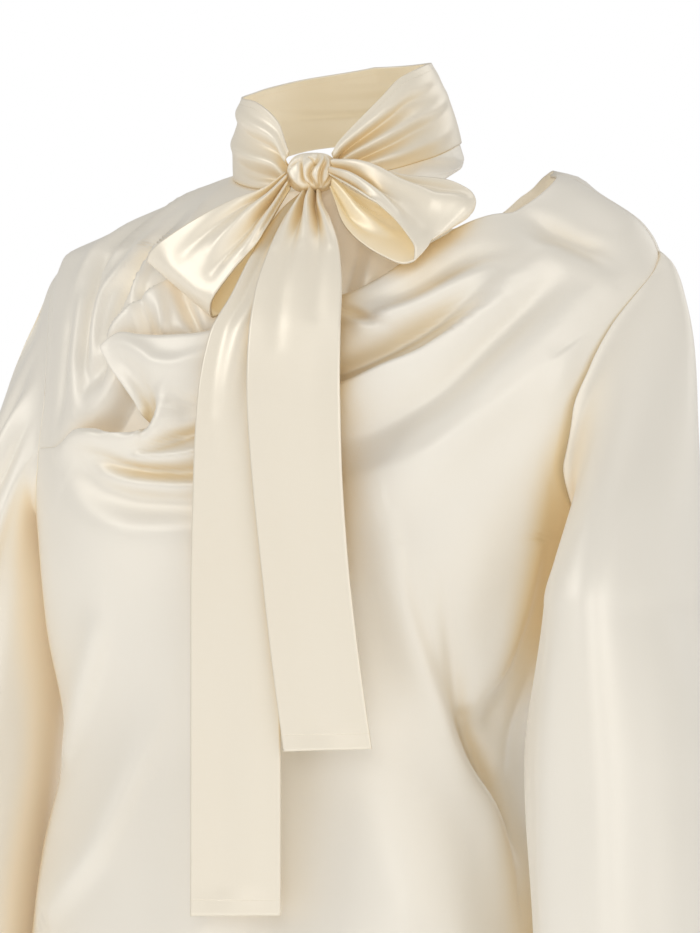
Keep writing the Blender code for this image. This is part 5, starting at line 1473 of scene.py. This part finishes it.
def add_loop(name, node, stations, folds, side):
    """One loop of the bow."""
    points, flat = ribbon(stations, folds, LOOP_STEPS, LOOP_ACROSS)
    # A loop's inner side has a painted shade colour and a painted glow.
    return add_cloth(name, node, points, grid_faces(points, flip=side > 0), flat, no_hem(flat),
                     "scarf_satin", inside="scarf_inside")


right_loop = add_loop("right_loop", "bow_loop_right", LOOP_RIGHT, LOOP_FOLDS_RIGHT, -1)
left_loop = add_loop("left_loop", "bow_loop_left", LOOP_LEFT, LOOP_FOLDS_LEFT, 1)

# %% [markdown]
# ## Tails
#
# The two ends of the scarf hang from under the knot. They are gathered there into a few pleats
# that open within a hand's width, and below that they are nearly flat. Each is ruled between its
# edges like the loops, and its end is cut a little aslant and hemmed.

# %% Tails
TAIL_SHORT = (
    # z      forward  right  left
    (-1.75,  9.3,     0.45,  1.7),
    (-2.6,   10.3,    0.3,   2.3),
    (-3.8,   11.4,    0.0,   3.4),
    (-5.7,   12.8,    -0.3,  4.6),
    (-8.4,   14.2,    -0.6,  5.4),
    (-11.0,  15.1,    -0.6,  5.7),
    (-15.0,  15.6,    -0.5,  5.9),
    (-20.0,  15.7,    -0.1,  6.1),
    (-25.3,  15.7,    0.5,   6.5),
    (-31.0,  15.7,    1.2,   7.2),
    (-37.2,  15.7,    2.1,   8.1),
)
TAIL_LONG = (
    # z      forward  right  left
    (-1.75,  8.7,     0.1,   1.5),
    (-2.6,   9.6,     -0.6,  2.0),
    (-3.8,   10.6,    -1.2,  2.6),
    (-5.7,   12.0,    -1.8,  3.2),
    (-8.4,   13.4,    -2.6,  3.2),
    (-11.0,  14.4,    -3.7,  2.4),
    (-15.0,  14.9,    -4.3,  1.9),
    (-20.0,  15.1,    -4.5,  1.7),
    (-28.0,  15.1,    -4.7,  1.6),
    (-38.0,  15.1,    -4.7,  1.6),
    (-47.9,  15.1,    -4.7,  1.6),
)
TAIL_FOLDS_SHORT = (
    (((0.2, 5.3, -0.2), (2.0, 5.3, -0.25), (5.0, 5.4, -0.1)), 0.4, 0.4),
    (((0.2, 4.3, 0.3), (1.5, 4.3, 0.45), (3.2, 4.2, 0.4), (5.5, 4.3, 0.2), (10.0, 4.3, 0.05)), 0.6, 0.55),
    (((0.2, 3.1, -0.4), (1.5, 3.1, -0.55), (2.8, 3.1, -0.5), (4.6, 3.0, -0.1)), 0.6, 0.6),
    (((0.2, 1.9, 0.3), (1.5, 1.9, 0.45), (3.2, 1.8, 0.4), (5.5, 1.8, 0.2), (12.0, 1.9, 0.05)), 0.55, 0.6),
    (((0.2, 0.7, -0.2), (2.0, 0.7, -0.25), (5.0, 0.7, -0.1)), 0.4, 0.4),
    (((14.0, 1.6, 0.02), (22.0, 1.9, 0.12), (36.0, 2.2, 0.12)), 1.0, 1.3),
    (((10.0, 4.6, 0.02), (20.0, 4.7, -0.1), (36.0, 4.4, -0.08)), 0.9, 1.0),
)
TAIL_FOLDS_LONG = (
    (((0.2, 5.0, -0.1), (3.0, 5.0, -0.2), (8.0, 5.0, -0.1)), 0.5, 0.5),
    (((0.2, 3.6, 0.1), (3.0, 3.6, 0.2), (9.0, 3.4, 0.15), (16.0, 3.2, 0.05)), 0.7, 0.7),
    (((0.2, 2.2, -0.1), (3.0, 2.2, -0.25), (9.0, 2.1, -0.2), (18.0, 2.0, -0.05)), 0.6, 0.6),
    (((0.2, 0.9, 0.1), (3.0, 0.9, 0.2), (9.0, 0.9, 0.15), (16.0, 1.0, 0.05)), 0.5, 0.5),
    (((16.0, 1.4, 0.02), (26.0, 1.6, 0.12), (46.0, 1.9, 0.14)), 1.0, 1.4),
    (((20.0, 4.4, 0.02), (32.0, 4.2, -0.1), (46.0, 4.0, -0.12)), 1.0, 1.0),
)
TAIL_STEPS = 220
TAIL_ACROSS = 40
TAIL_MITRE = 0.35


def add_tail(name, node, table, folds):
    """A hanging end of the scarf with a slanted hem."""
    stations = [(right, -forward, z, left, -forward, z) for z, forward, right, left in table]
    stations[-1] = (*stations[-1][:5], stations[-1][5] + TAIL_MITRE)
    points, flat = ribbon(stations, folds, TAIL_STEPS, TAIL_ACROSS)
    hem = np.stack([flat[..., 1], flat[-1:, :, 0] - flat[..., 0]], axis=-1)
    return add_cloth(name, node, points, grid_faces(points), flat, hem, "scarf_satin")


short_tail = add_tail("short_tail", "tail_short", TAIL_SHORT, TAIL_FOLDS_SHORT)
long_tail = add_tail("long_tail", "tail_long", TAIL_LONG, TAIL_FOLDS_LONG)

# %% [markdown]
# ## Knot
#
# The knot is a last turn of the scarf, pulled tight over the loops, so it shows three or four
# slanting plies that bulge between creases. It is one rounded form whose skin is pushed in along
# the creases and out between them.

# %% Knot
KNOT_CENTRE = (0.85, -8.7, -0.5)
KNOT_HALF = (1.72, 1.12, 1.28)
KNOT_SQUARE = 0.6
KNOT_SIDES = 180
KNOT_RINGS = 90
KNOT_FRONT = 270.0          # angle of the middle of the front
KNOT_FOLDS = (
    # (distance round from the middle of the front, height, height off the form)
    # creases between the plies
    (((-0.6, 1.0, -0.11), (-0.4, 0.6, -0.26), (-0.25, 0.0, -0.34), (-0.2, -0.45, -0.32),
      (0.2, -0.9, -0.16)), 0.12, 0.16),
    (((1.3, 1.1, -0.11), (0.85, 0.65, -0.29), (0.45, 0.25, -0.34), (0.3, -0.2, -0.34), (0.5, -0.6, -0.29),
      (0.8, -0.95, -0.11)), 0.12, 0.14),
    (((1.9, 0.95, -0.11), (1.45, 0.5, -0.29), (1.15, 0.0, -0.32), (1.1, -0.45, -0.27), (1.25, -0.9, -0.11)),
     0.12, 0.14),
    (((2.3, 0.9, -0.11), (2.1, 0.2, -0.21), (1.85, -0.45, -0.21), (1.6, -0.9, -0.05)), 0.12, 0.16),
    # the plies swell between them
    (((0.5, 1.0, 0.05), (0.2, 0.5, 0.16), (0.02, 0.0, 0.18), (0.1, -0.6, 0.1)), 0.22, 0.22),
    (((1.35, 0.75, 0.06), (0.95, 0.3, 0.16), (0.75, -0.2, 0.18), (0.85, -0.7, 0.1)), 0.2, 0.2),
    (((2.0, 0.6, 0.06), (1.65, 0.0, 0.14), (1.5, -0.5, 0.1)), 0.2, 0.22),
    (((-1.5, 0.4, 0.05), (-1.1, -0.1, 0.14), (-0.75, -0.5, 0.16), (-0.4, -0.9, 0.08)), 0.3, 0.3),
    # small twists at the top and the left
    (((-1.6, 0.1, -0.05), (-1.2, 0.55, -0.19), (-0.7, 0.85, -0.13)), 0.1, 0.14),
    (((0.2, 0.95, -0.11), (0.55, 0.75, -0.17), (0.8, 0.5, -0.11)), 0.08, 0.08),
)


def knot_points():
    """Rings of the knot, lowest first, and its flat map."""
    tilt = np.radians(np.linspace(-90.0, 90.0, KNOT_RINGS + 1)[1:-1])[:, None]
    turn = np.radians(np.linspace(0.0, 360.0, KNOT_SIDES, endpoint=False))[None, :]
    radius = np.cos(tilt) ** KNOT_SQUARE
    form = np.stack([radius * np.cos(turn), radius * np.sin(turn),
                     np.broadcast_to(np.sin(tilt), (KNOT_RINGS - 1, KNOT_SIDES))], axis=-1)
    degrees = np.broadcast_to(wrapped(np.degrees(turn) - KNOT_FRONT), form.shape[:2])
    flat = np.stack([np.radians(degrees) * KNOT_HALF[0], form[..., 2] * KNOT_HALF[2]], axis=-1)
    height = fold_height(KNOT_FOLDS, flat[..., 0], flat[..., 1])
    grown = form * (np.array(KNOT_HALF) + height[..., None])
    return grown + KNOT_CENTRE, flat


def add_knot():
    """The wrapped centre of the bow as one closed form."""
    points, flat = knot_points()
    index = grid_index(*points.shape[:2])
    faces = grid_faces(points, flip=True, closed=True).tolist()
    faces += [index[0, ::-1].tolist(), index[-1].tolist()]
    return add_piece("bow_knot_wrap", "bow_knot", points, faces, flat, no_hem(flat), "scarf_satin")


bow_knot = add_knot()
